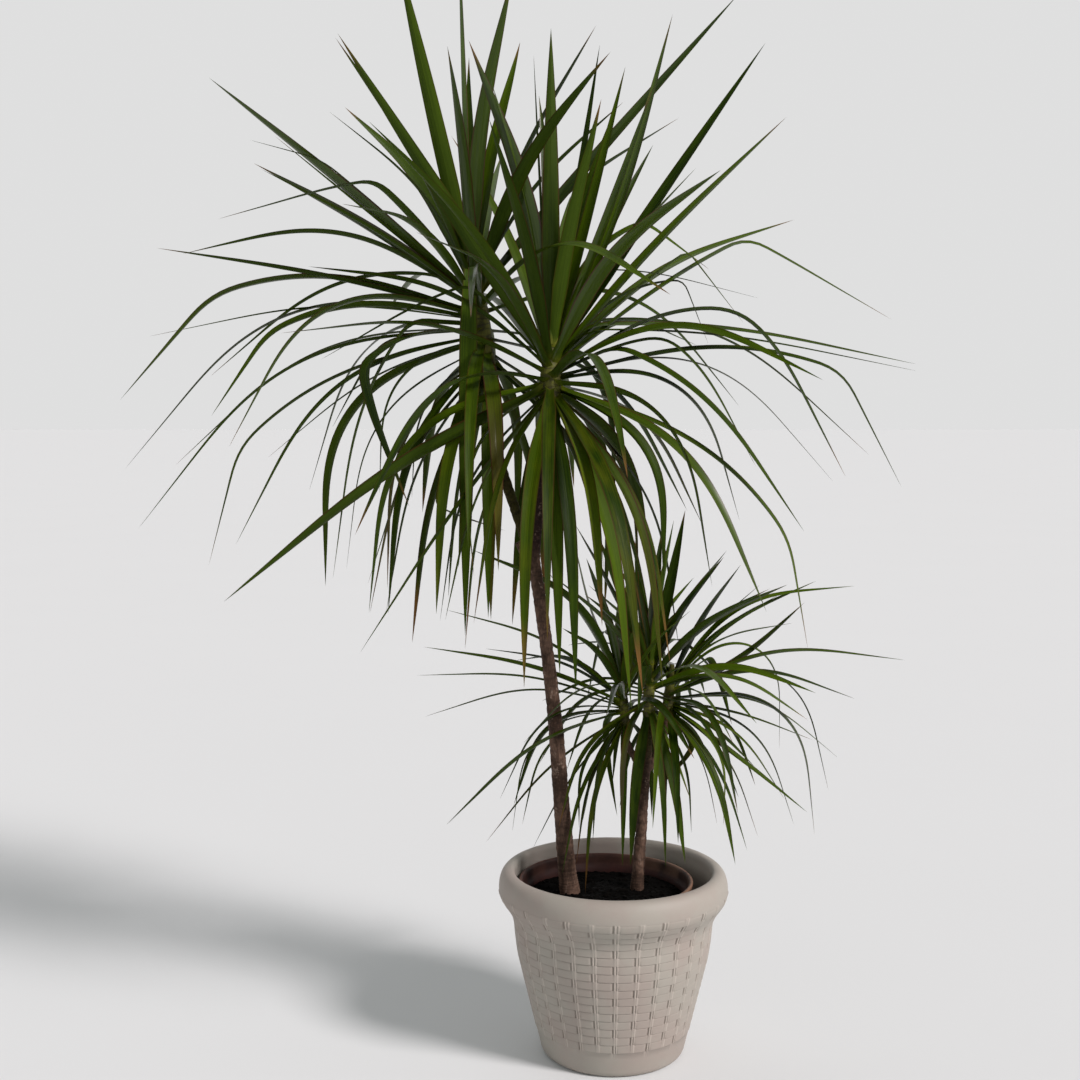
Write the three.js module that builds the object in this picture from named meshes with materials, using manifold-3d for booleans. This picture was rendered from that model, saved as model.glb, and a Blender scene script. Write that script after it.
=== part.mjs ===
// A potted dracaena: two woody stems with five heads of long narrow leaves, rooted in the soil of a
// plastic nursery pot that stands inside a larger woven-look planter.
// Millimetres, +Z up, +X to the right and -Y to the front. The origin is the middle of the planter's
// flat underside.

import * as THREE from 'three';
import Module from 'manifold-3d';

const wasm = await Module();
wasm.setup();

// ---------------------------------------------------------------- driving dimensions

const GAP = 0.3;                      // clearance between pieces that touch
const SAME_POINT = 1e-4;              // corners nearer than this are one corner
const SHORTEST_EDGE = 0.03;           // edges that joining leaves shorter than this are closed up

const PLANTER_HEIGHT = 224;
const PLANTER_BASE_R = 77;            // flat underside
const PLANTER_HEEL_R = 87;            // foot of the sloping wall
const PLANTER_HEEL_Z = 8;
const PLANTER_WAIST_R = 118.5;        // where the collar starts to flare
const PLANTER_WAIST_Z = 155;
const PLANTER_RIM_R = 137.5;          // widest line of the collar
const PLANTER_RIM_Z = 201;
const PLANTER_CREST_R = 124;          // top of the collar
const PLANTER_MOUTH_R = 118;          // inner edge of the collar
const PLANTER_MOUTH_Z = 215;
const PLANTER_WALL = 4;
const PLANTER_SIDES = 36;

const NURSERY_X = -9;                 // the nursery pot stands off centre, against the left wall
const NURSERY_BASE_R = 68;
const NURSERY_RIM_R = 105;
const NURSERY_RIM_Z = 210;
const NURSERY_NECK_R = 98;            // wall just under the lip
const NURSERY_LIP_H = 12;
const NURSERY_WALL = 2;
const NURSERY_SIDES = 32;

const SOIL_Z = 190;                   // soil line at the nursery pot's wall
const SOIL_CROWN = 4;                 // how much the soil rises towards its middle
const HOLE_Z = 110;                   // depth that the stems reach in the soil

const STEM_SIDES = 9;
const BLADE_KEEL = 0.085;             // a blade's keel depth as a share of its width
const BLADE_KEEL_MIN = 0.8;
const BEND_FROM = 0.1;                // a leaf bends down between these shares of its length
const BEND_TO = 0.8;
const FOLD_HALF = 0.03;               // half the share of its length that a broken leaf folds in
const FOLD_SOFT = 0.08;               // how much wider a slight fold is
const FOLD_SHARP = 90;                // degrees from which a fold is a sharp one
const PATH_STEPS = 24;                // steps along a leaf, from root to tip
const CURVED_RINGS = [0, 6, 11, 16, 21, 24];
const STRAIGHT_RINGS = [0, 9, 18, 24];
const STRAIGHT_DROOP = 24;            // leaves that bend less than this take fewer rings

const GOLDEN_ANGLE = 137.508;
const YOUNGEST_RISE = 86;             // degrees above the horizontal at the root
const OLDEST_RISE = -58;
const TRIES = 40;                     // ways tried for a leaf before it is left out
const CLEAR_OTHER = 2.2;              // room kept to other heads and stems
const CLEAR_OWN = 0.6;                // room kept to leaves of the same head
const CLEAR_SOIL = 14;                // height kept above the soil inside the pot's mouth
const CLEAR_COLLAR = 12;              // height kept above the collar
const CLEAR_ROUND = 20;               // room kept round the collar
const OPEN_MOUTH_R = 80;              // leaves may hang into the pot inside this radius
const LOWEST_LEAF = 60;
const SEED = 20413;

// Stem centrelines: [x, y, z, radius] from the buried end up.
const TALL_TRUNK = [
  [-52, 6, HOLE_Z, 11], [-52, 6, 178, 11], [-52, 6, 190, 13], [-55, 6, 216, 11],
  [-62, 5, 300, 9.8], [-69, 4, 391, 9], [-80, 2, 490, 7.8], [-93, 0, 580, 7.6], [-97, -1, 606, 7],
];
const TALL_LEFT_BRANCH = [
  [-93, 0, 582, 6], [-102, 4, 612, 6.8], [-120, 12, 662, 6.2], [-136, 21, 712, 6.4],
  [-142, 25, 738, 7], [-142, 25, 748, 7.4],
];
const TALL_RIGHT_BRANCH = [
  [-94, 0, 584, 6], [-93, -4, 622, 6.6], [-88, -14, 670, 6.4], [-80, -25, 712, 6.8],
  [-77, -30, 738, 8], [-77, -30, 748, 9],
];
const TALL_STUB = [[-95, 0, 592, 5], [-105, -3, 604, 6.6], [-112, -5, 618, 6.2]];
const SHORT_TRUNK = [
  [30, 17, HOLE_Z, 7.6], [30, 17, 178, 7.6], [30, 17, 190, 8.6], [31, 17, 206, 7.8],
  [36, 17, 280, 6.6], [39, 17, 337, 6.4], [40, 16, 350, 5.4],
];
const SHORT_LEFT_BRANCH = [
  [38, 17, 326, 3.6], [29, 18, 348, 4.3], [20, 19, 366, 4.1], [15, 20, 381, 4.4], [15, 20, 388, 4.6],
];
const SHORT_MIDDLE_BRANCH = [
  [39, 17, 334, 4.4], [42, 12, 360, 5], [42, 6, 382, 4.8], [42, 3, 397, 5.2], [42, 3, 404, 5.6],
];
const SHORT_RIGHT_BRANCH = [
  [39, 17, 330, 3.8], [50, 22, 352, 4.8], [60, 26, 374, 4.8], [66, 28, 391, 5.2], [66, 28, 398, 5.4],
];

// Each head: its neck from the branch to the growing tip, where its leaves start on the neck, how many
// leaves the rule adds, their usual length and width, how far the head leans and to which side, how the
// rule's leaves crowd upwards and how narrow its oldest ones are against its youngest, and the leaves
// that stand out, each as [azimuth, rise, droop, length, width, roll] with an optional
// [.., fold at, fold angle]. Azimuth 0 is to the right and 270 to the front; rise is the angle above
// the horizontal at the root, and droop is what a leaf loses of it on the way to its tip.
const HEADS = [
  {
    name: 'tall_left_crown',
    neck: [
      [-142, 25, 748 + GAP, 8], [-142, 25, 758, 8.6], [-149, 26, 815, 10.5], [-160, 27, 890, 11],
      [-170, 27, 950, 4.5],
    ],
    leafFrom: 0.5, leaves: 41, length: 385, width: 17, lean: 10, leanTo: 185,
    standouts: [
      [262, 45, 4, 470, 21, 0, 0.09, 128], [178, 41, 3, 405, 19, 35], [176, 36, 8, 310, 17, 40],
      [180, 77, 0, 385, 21, 75], [130, 87, 0, 385, 20, 35], [185, 15, 7, 378, 13, 20],
      [183, 17, 42, 480, 15, 20, 0.66, 24], [180, 10, 60, 500, 15, -15], [186, -4, 48, 490, 12, 15],
      [178, -12, 36, 470, 10, 20, 0.69, 27], [200, -12, 50, 400, 14, 25],
      [205, 2, 32, 400, 18, 20, 0.21, 52], [14, 49, 1, 485, 15, 60], [248, -42, 42, 330, 17, 0],
      [225, -38, 46, 345, 16, 0], [205, -50, 30, 320, 16, 20], [272, -52, 32, 310, 16, 0],
      [177, 39, 0, 305, 8, 25], [175, 64, 26, 265, 10, 20], [189, 36, 10, 285, 10, 20],
      [200, -16, 72, 250, 12, 20], [200, -34, 54, 205, 14, 10], [178, 36, 46, 365, 11, 20, 0.13, 30],
      [180, 8, 20, 392, 8, 10], [184, 10, 42, 370, 15, 25, 0.68, 24], [178, -2, 40, 420, 8, 10],
      [190, -16, 24, 290, 8, 10], [190, -2, 30, 230, 12, 20, 0.5, 28], [195, -27, 56, 330, 9, 15],
      [205, -46, 26, 300, 14, 15], [180, 43, 4, 325, 7, 15, 0.73, 24],
    ],
  },
  {
    name: 'tall_right_crown',
    neck: [
      [-77, -30, 748 + GAP, 9.5], [-77, -30, 758, 12], [-76, -31, 786, 13], [-76, -32, 812, 12],
      [-76, -32, 852, 4.5],
    ],
    leafFrom: 0.5, leaves: 41, length: 375, width: 17, lean: 3, leanTo: 300,
    standouts: [
      [200, 55, 0, 418, 19, 60], [272, 89, 0, 352, 21, 0], [182, 84, 16, 355, 21, 75],
      [2, 57, 2, 430, 17, 50], [358, 50, 7, 380, 15, 45], [4, 65, -10, 408, 14, 60],
      [15, 75, 0, 335, 15, 40], [2, 38, 16, 455, 12, 25, 0.58, 52],
      [2, 50, 14, 440, 14, 25, 0.12, 48], [350, 30, 68, 448, 20, 15, 0.5, 25],
      [6, 14, 36, 500, 15, 20, 0.69, 40], [8, 14, 62, 392, 7, 15],
      [350, 24, 36, 382, 18, 20, 0.2, 44], [203, -24, 14, 440, 21, 55], [213, -45, 8, 370, 18, 40],
      [296, -32, 45, 400, 18, 0], [335, -18, 48, 375, 17, 20], [352, -18, 40, 456, 15, 20, 0.72, 22],
      [257, -44, 44, 360, 17, 0], [306, -50, 32, 380, 18, 0], [330, -46, 38, 370, 17, 10],
      [352, -48, 34, 350, 16, 20], [18, -40, 42, 370, 15, 20], [284, -56, 28, 350, 17, 0],
      [12, 50, 46, 460, 13, 15, 0.13, 45], [354, 46, 12, 425, 8, 15, 0.12, 46],
      [4, 74, 58, 280, 14, 35, 0.67, 52], [0, 44, 12, 300, 10, 20, 0.66, 84],
      [4, 62, 24, 296, 7, 15, 0.38, 52], [6, 50, 50, 262, 9, 20, 0.7, 68],
      [355, 24, 52, 315, 11, 20, 0.42, 34], [8, 81, 0, 345, 13, 40], [352, 68, -2, 318, 13, 60],
      [40, 62, 6, 300, 14, 40], [140, 86, 0, 330, 12, 50],
    ],
  },
  {
    name: 'short_left_crown',
    neck: [[15, 20, 388 + GAP, 4.8], [15, 20, 394, 5.2], [13, 20, 418, 6.4], [11, 20, 454, 3]],
    leafFrom: 0.35, leaves: 27, length: 215, width: 14, lean: 8, leanTo: 190,
    agePower: 0.8, oldWidth: 0.6,
    standouts: [
      [211, -8, 28, 268, 17, 15], [180, 14, 34, 245, 12, 15], [176, 19, 22, 255, 10, 20],
      [182, 24, 16, 250, 12, 40], [184, 66, 46, 255, 15, 40], [212, -47, 30, 200, 11, 10],
      [175, -36, 20, 236, 11, 20], [184, 42, 26, 240, 15, 20], [205, -53, 32, 184, 10, 15],
      [172, -46, 18, 198, 9, 15], [232, -48, 36, 215, 10, 10], [184, -6, 76, 232, 8, 15],
      [177, -10, 62, 212, 8, 15],
    ],
  },
  {
    name: 'short_middle_crown',
    neck: [[42, 3, 404 + GAP, 5.8], [42, 3, 410, 6.2], [42, 2, 436, 7.2], [44, 1, 478, 3]],
    leafFrom: 0.4, leaves: 26, length: 215, width: 14, lean: 5, leanTo: 270,
    agePower: 0.8, oldWidth: 0.6,
    standouts: [
      [20, 76, -2, 190, 15, 50], [250, -64, 20, 184, 15, 0], [230, 62, 5, 195, 15, 20],
      [150, 64, 8, 200, 15, 50], [300, 30, 60, 220, 13, 10], [305, -58, 22, 186, 13, 10],
      [80, -60, 20, 120, 13, 0], [4, 48, 26, 200, 15, 25], [333, -58, 12, 118, 9, 10],
    ],
  },
  {
    name: 'short_right_crown',
    neck: [[66, 28, 398 + GAP, 5.6], [66, 28, 404, 6], [68, 28, 426, 6.8], [72, 28, 466, 3]],
    leafFrom: 0.38, leaves: 27, length: 215, width: 14, lean: 10, leanTo: 20,
    agePower: 0.8, oldWidth: 0.6,
    standouts: [
      [356, 27, 34, 290, 11, 20], [5, 54, 50, 268, 9, 25], [2, 24, -18, 196, 11, 30],
      [352, 8, 92, 295, 12, 10], [8, 22, 98, 305, 7, 0], [350, -34, 4, 206, 10, 30],
      [322, -44, 34, 204, 14, 10], [345, -22, 22, 125, 13, 10], [340, -44, 28, 195, 10, 10],
      [0, -36, 36, 200, 9, 10], [5, -12, 60, 240, 9, 10], [4, 44, 134, 256, 9, 10],
      [4, 4, 44, 236, 7, 15], [2, -8, 14, 182, 8, 15], [358, -18, 40, 190, 10, 15],
    ],
  },
];

// ---------------------------------------------------------------- geometry helpers

const radians = THREE.MathUtils.degToRad;

/** A closed solid through rings of points that turn anticlockwise as seen against the way they run.
 *  Every four-sided face is split from its lower-numbered corner, so both faces of a thin blade are
 *  split alike. A tip point closes the far end, or a flat cap where there is none. */
function loft(rings, tip) {
  const sides = rings[0].length;
  const points = rings.flat();
  const faces = [];
  for (let i = 0; i + 1 < rings.length; i++) {
    for (let j = 0; j < sides; j++) {
      const near = i * sides + j;
      const nearNext = i * sides + (j + 1) % sides;
      const far = near + sides;
      const farNext = nearNext + sides;
      if (nearNext > near) faces.push(near, nearNext, farNext, near, farNext, far);
      else faces.push(near, nearNext, far, nearNext, farNext, far);
    }
  }
  const last = (rings.length - 1) * sides;
  for (let j = 1; j + 1 < sides; j++) {
    faces.push(0, j + 1, j);
    if (!tip) faces.push(last, last + j, last + j + 1);
  }
  if (tip) {
    points.push(tip);
    for (let j = 0; j < sides; j++) faces.push(last + j, last + (j + 1) % sides, points.length - 1);
  }
  return closedGeometry(points, faces);
}

/** A BufferGeometry from corner points and triangle corners. */
function closedGeometry(points, faces) {
  const geometry = new THREE.BufferGeometry();
  geometry.setFromPoints(points);
  geometry.setIndex(faces);
  return geometry;
}

/** A round tube along a smooth curve through [x, y, z, radius] points, flat at both ends. */
function taperedTube(path, sides, steps) {
  const curve = new THREE.CatmullRomCurve3(path.map(([x, y, z]) => new THREE.Vector3(x, y, z)));
  const rings = [];
  for (let i = 0; i <= steps; i++) {
    const at = (i / steps) * (path.length - 1);
    const before = Math.min(Math.floor(at), path.length - 2);
    const radius = THREE.MathUtils.lerp(path[before][3], path[before + 1][3], at - before);
    const along = curve.getTangent(i / steps);
    const axisA = new THREE.Vector3(0, 1, 0).cross(along).normalize();
    rings.push(ringAround(curve.getPoint(i / steps), axisA, along.cross(axisA), radius, sides));
  }
  return loft(rings);
}

/** The corners of a round section, anticlockwise about the cross product of its two axes. */
function ringAround(centre, axisA, axisB, radius, sides) {
  return Array.from({ length: sides }, (_, j) => {
    const angle = (j / sides) * 2 * Math.PI;
    return centre.clone()
      .addScaledVector(axisA, radius * Math.cos(angle))
      .addScaledVector(axisB, radius * Math.sin(angle));
  });
}

/** A solid of revolution about +Z from a [radius, height] outline that starts and ends on the axis. */
function turned(outline, sides) {
  const points = outline.map(([r, z]) => new THREE.Vector2(r, z));
  const geometry = new THREE.LatheGeometry(points, sides);
  geometry.rotateX(Math.PI / 2);
  return weld(geometry);
}

/** The same surface with doubled corners merged and edges too short to matter closed up. A short edge
 *  stays where closing it would pinch the surface. */
function weld(geometry) {
  const corners = geometry.getAttribute('position');
  const index = geometry.getIndex().array;
  const numbers = new Map();
  const points = [];
  const pointOf = Array.from({ length: corners.count }, (_, i) => {
    const point = new THREE.Vector3().fromBufferAttribute(corners, i);
    const key = point.toArray().map((v) => Math.round(v / SAME_POINT)).join();
    if (!numbers.has(key)) numbers.set(key, points.push(point) - 1);
    return numbers.get(key);
  });
  const faces = [];
  for (let i = 0; i < index.length; i += 3) {
    const face = [0, 1, 2].map((k) => pointOf[index[i + k]]);
    if (new Set(face).size === 3) faces.push(face);
  }
  closeShortEdges(points, faces);
  return packed(points, faces.filter(Boolean));
}

/** Closes every edge shorter than the shortest by moving its far end onto its near end. A triangle that
 *  this empties becomes null. */
function closeShortEdges(points, faces) {
  const facesAt = points.map(() => new Set());
  faces.forEach((face, f) => face.forEach((point) => facesAt[point].add(f)));
  const ringOf = (point) => new Set([...facesAt[point]].flatMap((f) => faces[f]));
  const canClose = (a, b) => {
    const near = ringOf(a);
    return [...ringOf(b)].filter((point) => near.has(point)).length === 4;
  };
  const shortEdge = (face) => [0, 1, 2].map((k) => [face[k], face[(k + 1) % 3]])
    .find(([a, b]) => points[a].distanceTo(points[b]) < SHORTEST_EDGE && canClose(a, b));
  const close = ([a, b]) => {
    for (const f of [...facesAt[b]]) {
      if (faces[f].includes(a)) {
        faces[f].forEach((point) => facesAt[point].delete(f));
        faces[f] = null;
      } else {
        faces[f] = faces[f].map((point) => (point === b ? a : point));
        facesAt[a].add(f);
      }
    }
    facesAt[b].clear();
  };
  for (let f = 0; f < faces.length; f++) {
    for (let edge = faces[f] && shortEdge(faces[f]); edge; edge = faces[f] && shortEdge(faces[f])) {
      close(edge);
    }
  }
}

/** A closed geometry from those of the points that its faces use. */
function packed(points, faces) {
  const used = [...new Set(faces.flat())];
  const place = new Map(used.map((point, i) => [point, i]));
  return closedGeometry(used.map((i) => points[i]), faces.flat().map((i) => place.get(i)));
}

/** The skin that encloses the most: sealed hollows are filled and loose scraps are dropped. */
function outerSkin(geometry) {
  const corners = geometry.getAttribute('position');
  const index = geometry.getIndex().array;
  const points = Array.from({ length: corners.count }, (_, i) => (
    new THREE.Vector3().fromBufferAttribute(corners, i)));
  const joinedTo = points.map((_, i) => i);
  const first = (point) => {
    let at = point;
    while (joinedTo[at] !== at) at = joinedTo[at];
    return at;
  };
  const faces = [];
  for (let i = 0; i < index.length; i += 3) {
    const face = [index[i], index[i + 1], index[i + 2]];
    faces.push(face);
    joinedTo[first(face[1])] = first(face[0]);
    joinedTo[first(face[2])] = first(face[0]);
  }
  const volumes = new Map();
  for (const face of faces) {
    const [a, b, c] = face.map((i) => points[i]);
    const skin = first(face[0]);
    volumes.set(skin, (volumes.get(skin) ?? 0) + a.dot(b.clone().cross(c)) / 6);
  }
  const [largest] = [...volumes].reduce((most, skin) => (skin[1] > most[1] ? skin : most));
  return packed(points, faces.filter((face) => first(face[0]) === largest));
}

function toSolid(geometry) {
  return new wasm.Manifold(new wasm.Mesh({
    numProp: 3,
    vertProperties: new Float32Array(geometry.getAttribute('position').array),
    triVerts: new Uint32Array(geometry.getIndex().array),
  }));
}

function toGeometry(solid) {
  const mesh = solid.getMesh();
  const geometry = new THREE.BufferGeometry();
  geometry.setAttribute('position', new THREE.BufferAttribute(new Float32Array(mesh.vertProperties), 3));
  geometry.setIndex(new THREE.BufferAttribute(new Uint32Array(mesh.triVerts), 1));
  return geometry;
}

/** Joins closed geometries into one closed body, pair by pair. */
function fuse(geometries) {
  let solids = geometries.map(toSolid);
  while (solids.length > 1) {
    const joined = [];
    for (let i = 0; i < solids.length; i += 2) {
      joined.push(i + 1 < solids.length ? solids[i].add(solids[i + 1]) : solids[i]);
    }
    solids = joined;
  }
  return outerSkin(weld(toGeometry(solids[0])));
}

// ---------------------------------------------------------------- leaves

/** Repeatable random numbers from 0 to 1. */
function randomFrom(seed) {
  let state = seed >>> 0;
  const next = () => {
    state = (Math.imul(state, 1664525) + 1013904223) >>> 0;
    return state / 4294967296;
  };
  for (let i = 0; i < 4; i++) next();
  return next;
}

/** Width of a blade along its length, as a share of its full width. */
function widthShare(t) {
  if (t < 0.25) return 0.45 + 2.2 * t;
  return (1 - ((t - 0.25) / 0.75) ** 1.75) ** 1.1;
}

/** Centre, way and side of a leaf at every step from root to tip. */
function leafSteps(leaf) {
  const steps = [];
  const point = leaf.root.clone();
  for (let i = 0; i <= PATH_STEPS; i++) {
    const t = i / PATH_STEPS;
    steps.push({ point: point.clone(), ...leafFrame(leaf, t), width: leaf.width * widthShare(t) });
    const middle = leafFrame(leaf, t + 0.5 / PATH_STEPS);
    point.addScaledVector(middle.along, leaf.length / PATH_STEPS);
  }
  return steps;
}

/** Directions of a leaf at a share t of its length: along it, across it and out of its upper face. */
function leafFrame(leaf, t) {
  const { foldAt, foldAngle } = leaf;
  const half = FOLD_HALF + FOLD_SOFT * Math.max(0, 1 - foldAngle / FOLD_SHARP);
  const folded = foldAngle * THREE.MathUtils.smoothstep(t, foldAt - half, foldAt + half);
  const bent = leaf.droop * THREE.MathUtils.smoothstep(t, BEND_FROM, BEND_TO);
  const rise = radians(leaf.rise - bent - folded);
  const azimuth = radians(leaf.azimuth + leaf.sway * t * t);
  const along = new THREE.Vector3(
    Math.cos(rise) * Math.cos(azimuth), Math.cos(rise) * Math.sin(azimuth), Math.sin(rise));
  const level = new THREE.Vector3(-Math.sin(azimuth), Math.cos(azimuth), 0);
  const up = along.clone().cross(level);
  const roll = radians(leaf.roll + leaf.twist * t);
  const across = level.clone().multiplyScalar(Math.cos(roll)).addScaledVector(up, Math.sin(roll));
  return { along, across, up: along.clone().cross(across) };
}

/** The steps of a leaf that carry a ring of corners. */
function ringSteps(leaf) {
  const bend = Math.abs(leaf.droop) + leaf.foldAngle;
  const steps = leafSteps(leaf);
  return (bend < STRAIGHT_DROOP ? STRAIGHT_RINGS : CURVED_RINGS).map((i) => steps[i]);
}

/** A leaf blade: a flat upper face over a shallow keel, running out to a point. */
function blade(leaf) {
  const steps = ringSteps(leaf);
  const rings = steps.slice(0, -1).map(({ point, across, up, width }) => {
    const keel = Math.max(width * BLADE_KEEL, BLADE_KEEL_MIN);
    return [
      point.clone().addScaledVector(across, width / 2),
      point.clone().addScaledVector(across, -width / 2),
      point.clone().addScaledVector(up, -keel),
    ];
  });
  return loft(rings, steps.at(-1).point);
}

/** Leaf as straight stretches, each with its side direction and half its width. */
function leafStretches(leaf) {
  const steps = ringSteps(leaf);
  return steps.slice(1).map((end, i) => ({
    a: steps[i].point, b: end.point, side: steps[i].across, half: Math.max(steps[i].width, end.width) / 2,
  }));
}

/** Stem as straight stretches with the same reach to every side. */
function stemStretches(path) {
  return path.slice(1).map(([x, y, z, r], i) => ({
    a: new THREE.Vector3(...path[i].slice(0, 3)), b: new THREE.Vector3(x, y, z),
    side: null, half: Math.max(r, path[i][3]),
  }));
}

/** Shortest way from one straight stretch to another. */
function shortestWay(s, t) {
  const u = s.b.clone().sub(s.a);
  const v = t.b.clone().sub(t.a);
  const w = s.a.clone().sub(t.a);
  const [uu, uv, vv, uw, vw] = [u.dot(u), u.dot(v), v.dot(v), u.dot(w), v.dot(w)];
  const spread = uu * vv - uv * uv;
  const clamp01 = (x) => Math.min(Math.max(x, 0), 1);
  let along = spread > 1e-9 ? clamp01((uv * vw - vv * uw) / spread) : 0;
  const other = clamp01((uv * along + vw) / vv);
  along = clamp01((uv * other - uw) / uu);
  return w.addScaledVector(u, along).addScaledVector(v, -other);
}

/** Whether two stretches keep some room, given how far each reaches towards the other. */
function keepApart(s, t, room) {
  const way = shortestWay(s, t);
  const distance = way.length();
  if (distance < room) return false;
  const reach = ({ side, half }) => (side ? half * Math.abs(side.dot(way)) / distance : half);
  return distance > reach(s) + reach(t) + room;
}

/** 0 for the oldest, hanging leaves to 1 for the youngest, upright ones. */
function youthOf(rise) {
  return THREE.MathUtils.clamp((rise - OLDEST_RISE) / (YOUNGEST_RISE - OLDEST_RISE), 0, 1);
}

/** Where a leaf of a given rise leaves its head's neck: low for old ones and high for young ones. */
function rootOn(head, rise, azimuth) {
  const age = youthOf(rise);
  const at = (head.leafFrom + (0.97 - head.leafFrom) * age) * (head.neck.length - 1);
  const before = Math.min(Math.floor(at), head.neck.length - 2);
  const mix = head.neck[before].map((v, k) => v + (head.neck[before + 1][k] - v) * (at - before));
  const inset = 0.45 * mix[3];
  return new THREE.Vector3(
    mix[0] + inset * Math.cos(radians(azimuth)), mix[1] + inset * Math.sin(radians(azimuth)), mix[2]);
}

/** How much a leaf bends down: the level ones most, upright and hanging ones little. */
function droopFor(rise) {
  return 14 + 56 * Math.exp(-(((rise + 5) / 40) ** 2));
}

/** One leaf with its place, from a standout's numbers and a small random change per try. */
function standoutLeaf(head, row, random, attempt) {
  const [azimuth, rise, droop, length, width, roll, foldAt = 2, foldAngle = 0] = row;
  const turn = azimuth + (random() - 0.5) * 2 * attempt;
  const lift = rise + (random() - 0.5) * attempt;
  return {
    root: rootOn(head, rise, turn), azimuth: turn, rise: lift, droop, length, width, roll, foldAt, foldAngle,
    sway: (random() - 0.5) * 8, twist: (random() - 0.5) * 16,
  };
}

/** One leaf with its place, from its number in the head's spiral and random changes. */
function spiralLeaf(head, number, random, attempt) {
  const age = number / (head.leaves - 1);
  const loosen = 1 + attempt / 6;
  const azimuth = number * GOLDEN_ANGLE + (random() - 0.5) * 14 * loosen;
  const { agePower = 1.15, oldWidth = 1 } = head;
  const leaned = head.lean * Math.cos(radians(azimuth - head.leanTo));
  const steady = OLDEST_RISE + (YOUNGEST_RISE - OLDEST_RISE) * age ** agePower;
  const rise = steady - leaned + (random() - 0.5) * 12 * loosen;
  const folds = random() < 0.07 && rise < 60;
  return {
    root: rootOn(head, rise, azimuth), azimuth, rise,
    droop: droopFor(rise) * (0.7 + 0.6 * random()),
    length: head.length * (0.82 + 0.26 * random()) * (rise > 50 || rise < -20 ? 0.84 : 1),
    width: head.width * (0.78 + 0.36 * random()) * (oldWidth + (1 - oldWidth) * youthOf(rise)),
    roll: (random() - 0.5) * 70, sway: (random() - 0.5) * 24, twist: (random() - 0.5) * 40,
    foldAt: 0.35 + 0.3 * random(), foldAngle: folds ? 45 + 35 * random() : 0,
  };
}

/** Places every leaf of every head, turn by turn, so that no leaf cuts a stem or another head. */
function growLeaves(heads, stems) {
  const fixed = [...stems, ...heads.map((head) => head.neck)].map(stemStretches);
  const placed = [];
  const mostLeaves = Math.max(...heads.map((head) => head.standouts.length + head.leaves));
  for (let turn = 0; turn < mostLeaves; turn++) {
    heads.forEach((head, h) => {
      if (turn >= head.standouts.length + head.leaves) return;
      for (let attempt = 0; attempt < TRIES; attempt++) {
        const random = randomFrom(SEED + h * 7919 + turn * 104729 + attempt * 1299709);
        const leaf = turn < head.standouts.length
          ? standoutLeaf(head, head.standouts[turn], random, attempt)
          : spiralLeaf(head, turn - head.standouts.length, random, attempt);
        const stretches = leafStretches(leaf);
        if (isClear(stretches, h, fixed, placed, stems.length)) {
          placed.push({ head: h, leaf, stretches });
          return;
        }
      }
    });
  }
  return placed;
}

/** How low a leaf may reach at a distance from the planter's axis. */
function lowestAt(radius) {
  if (radius < OPEN_MOUTH_R) return SOIL_Z + CLEAR_SOIL;
  return radius < PLANTER_RIM_R + CLEAR_ROUND ? PLANTER_HEIGHT + CLEAR_COLLAR : LOWEST_LEAF;
}

/** Whether a leaf stays out of the pot, the stems, the necks of other heads and the placed leaves. */
function isClear(stretches, h, fixed, placed, stemCount) {
  if (stretches.some(({ b }) => b.z < lowestAt(Math.hypot(b.x, b.y)))) return false;
  for (let k = 0; k < fixed.length; k++) {
    const mine = k === stemCount + h ? stretches.slice(1) : stretches;
    if (mine.some((s) => fixed[k].some((t) => !keepApart(s, t, CLEAR_OTHER)))) return false;
  }
  return placed.every((other) => {
    const own = other.head === h;
    const theirs = own ? other.stretches.slice(2) : other.stretches;
    const mine = own ? stretches.slice(2) : stretches;
    const room = own ? CLEAR_OWN : CLEAR_OTHER;
    return mine.every((s) => theirs.every((t) => keepApart(s, t, room)));
  });
}

// ---------------------------------------------------------------- pot, soil and stems

/** The planter's wall as one closed outline: up the outside, over the collar and down the inside. */
function planterGeometry() {
  const outline = new THREE.Path();
  outline.moveTo(0, 0);
  outline.lineTo(PLANTER_BASE_R, 0);
  outline.quadraticCurveTo(PLANTER_HEEL_R - 2.5, 0, PLANTER_HEEL_R, PLANTER_HEEL_Z);
  outline.lineTo(113.5, 117);
  outline.quadraticCurveTo(117, 135, PLANTER_WAIST_R, PLANTER_WAIST_Z);
  outline.bezierCurveTo(120, 180, PLANTER_RIM_R, 186, PLANTER_RIM_R, PLANTER_RIM_Z);
  outline.bezierCurveTo(PLANTER_RIM_R, 216, 132, PLANTER_HEIGHT, PLANTER_CREST_R, PLANTER_HEIGHT);
  outline.quadraticCurveTo(PLANTER_MOUTH_R, PLANTER_HEIGHT, PLANTER_MOUTH_R, PLANTER_MOUTH_Z);
  outline.lineTo(PLANTER_MOUTH_R, 190);
  outline.lineTo(PLANTER_WAIST_R - PLANTER_WALL, PLANTER_WAIST_Z);
  outline.lineTo(113.5 - PLANTER_WALL, 117);
  outline.lineTo(PLANTER_HEEL_R - PLANTER_WALL, PLANTER_HEEL_Z + PLANTER_WALL);
  outline.lineTo(PLANTER_HEEL_R - 2 * PLANTER_WALL, PLANTER_WALL);
  outline.lineTo(0, PLANTER_WALL);
  return turned(outline.getPoints(3).map(({ x, y }) => [x, y]), PLANTER_SIDES);
}

/** Inner radius of the nursery pot at a height. */
function nurseryInnerR(z) {
  const share = (z - PLANTER_WALL) / (NURSERY_RIM_Z - NURSERY_LIP_H - PLANTER_WALL);
  return NURSERY_BASE_R + (NURSERY_NECK_R - NURSERY_BASE_R) * share - NURSERY_WALL;
}

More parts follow.
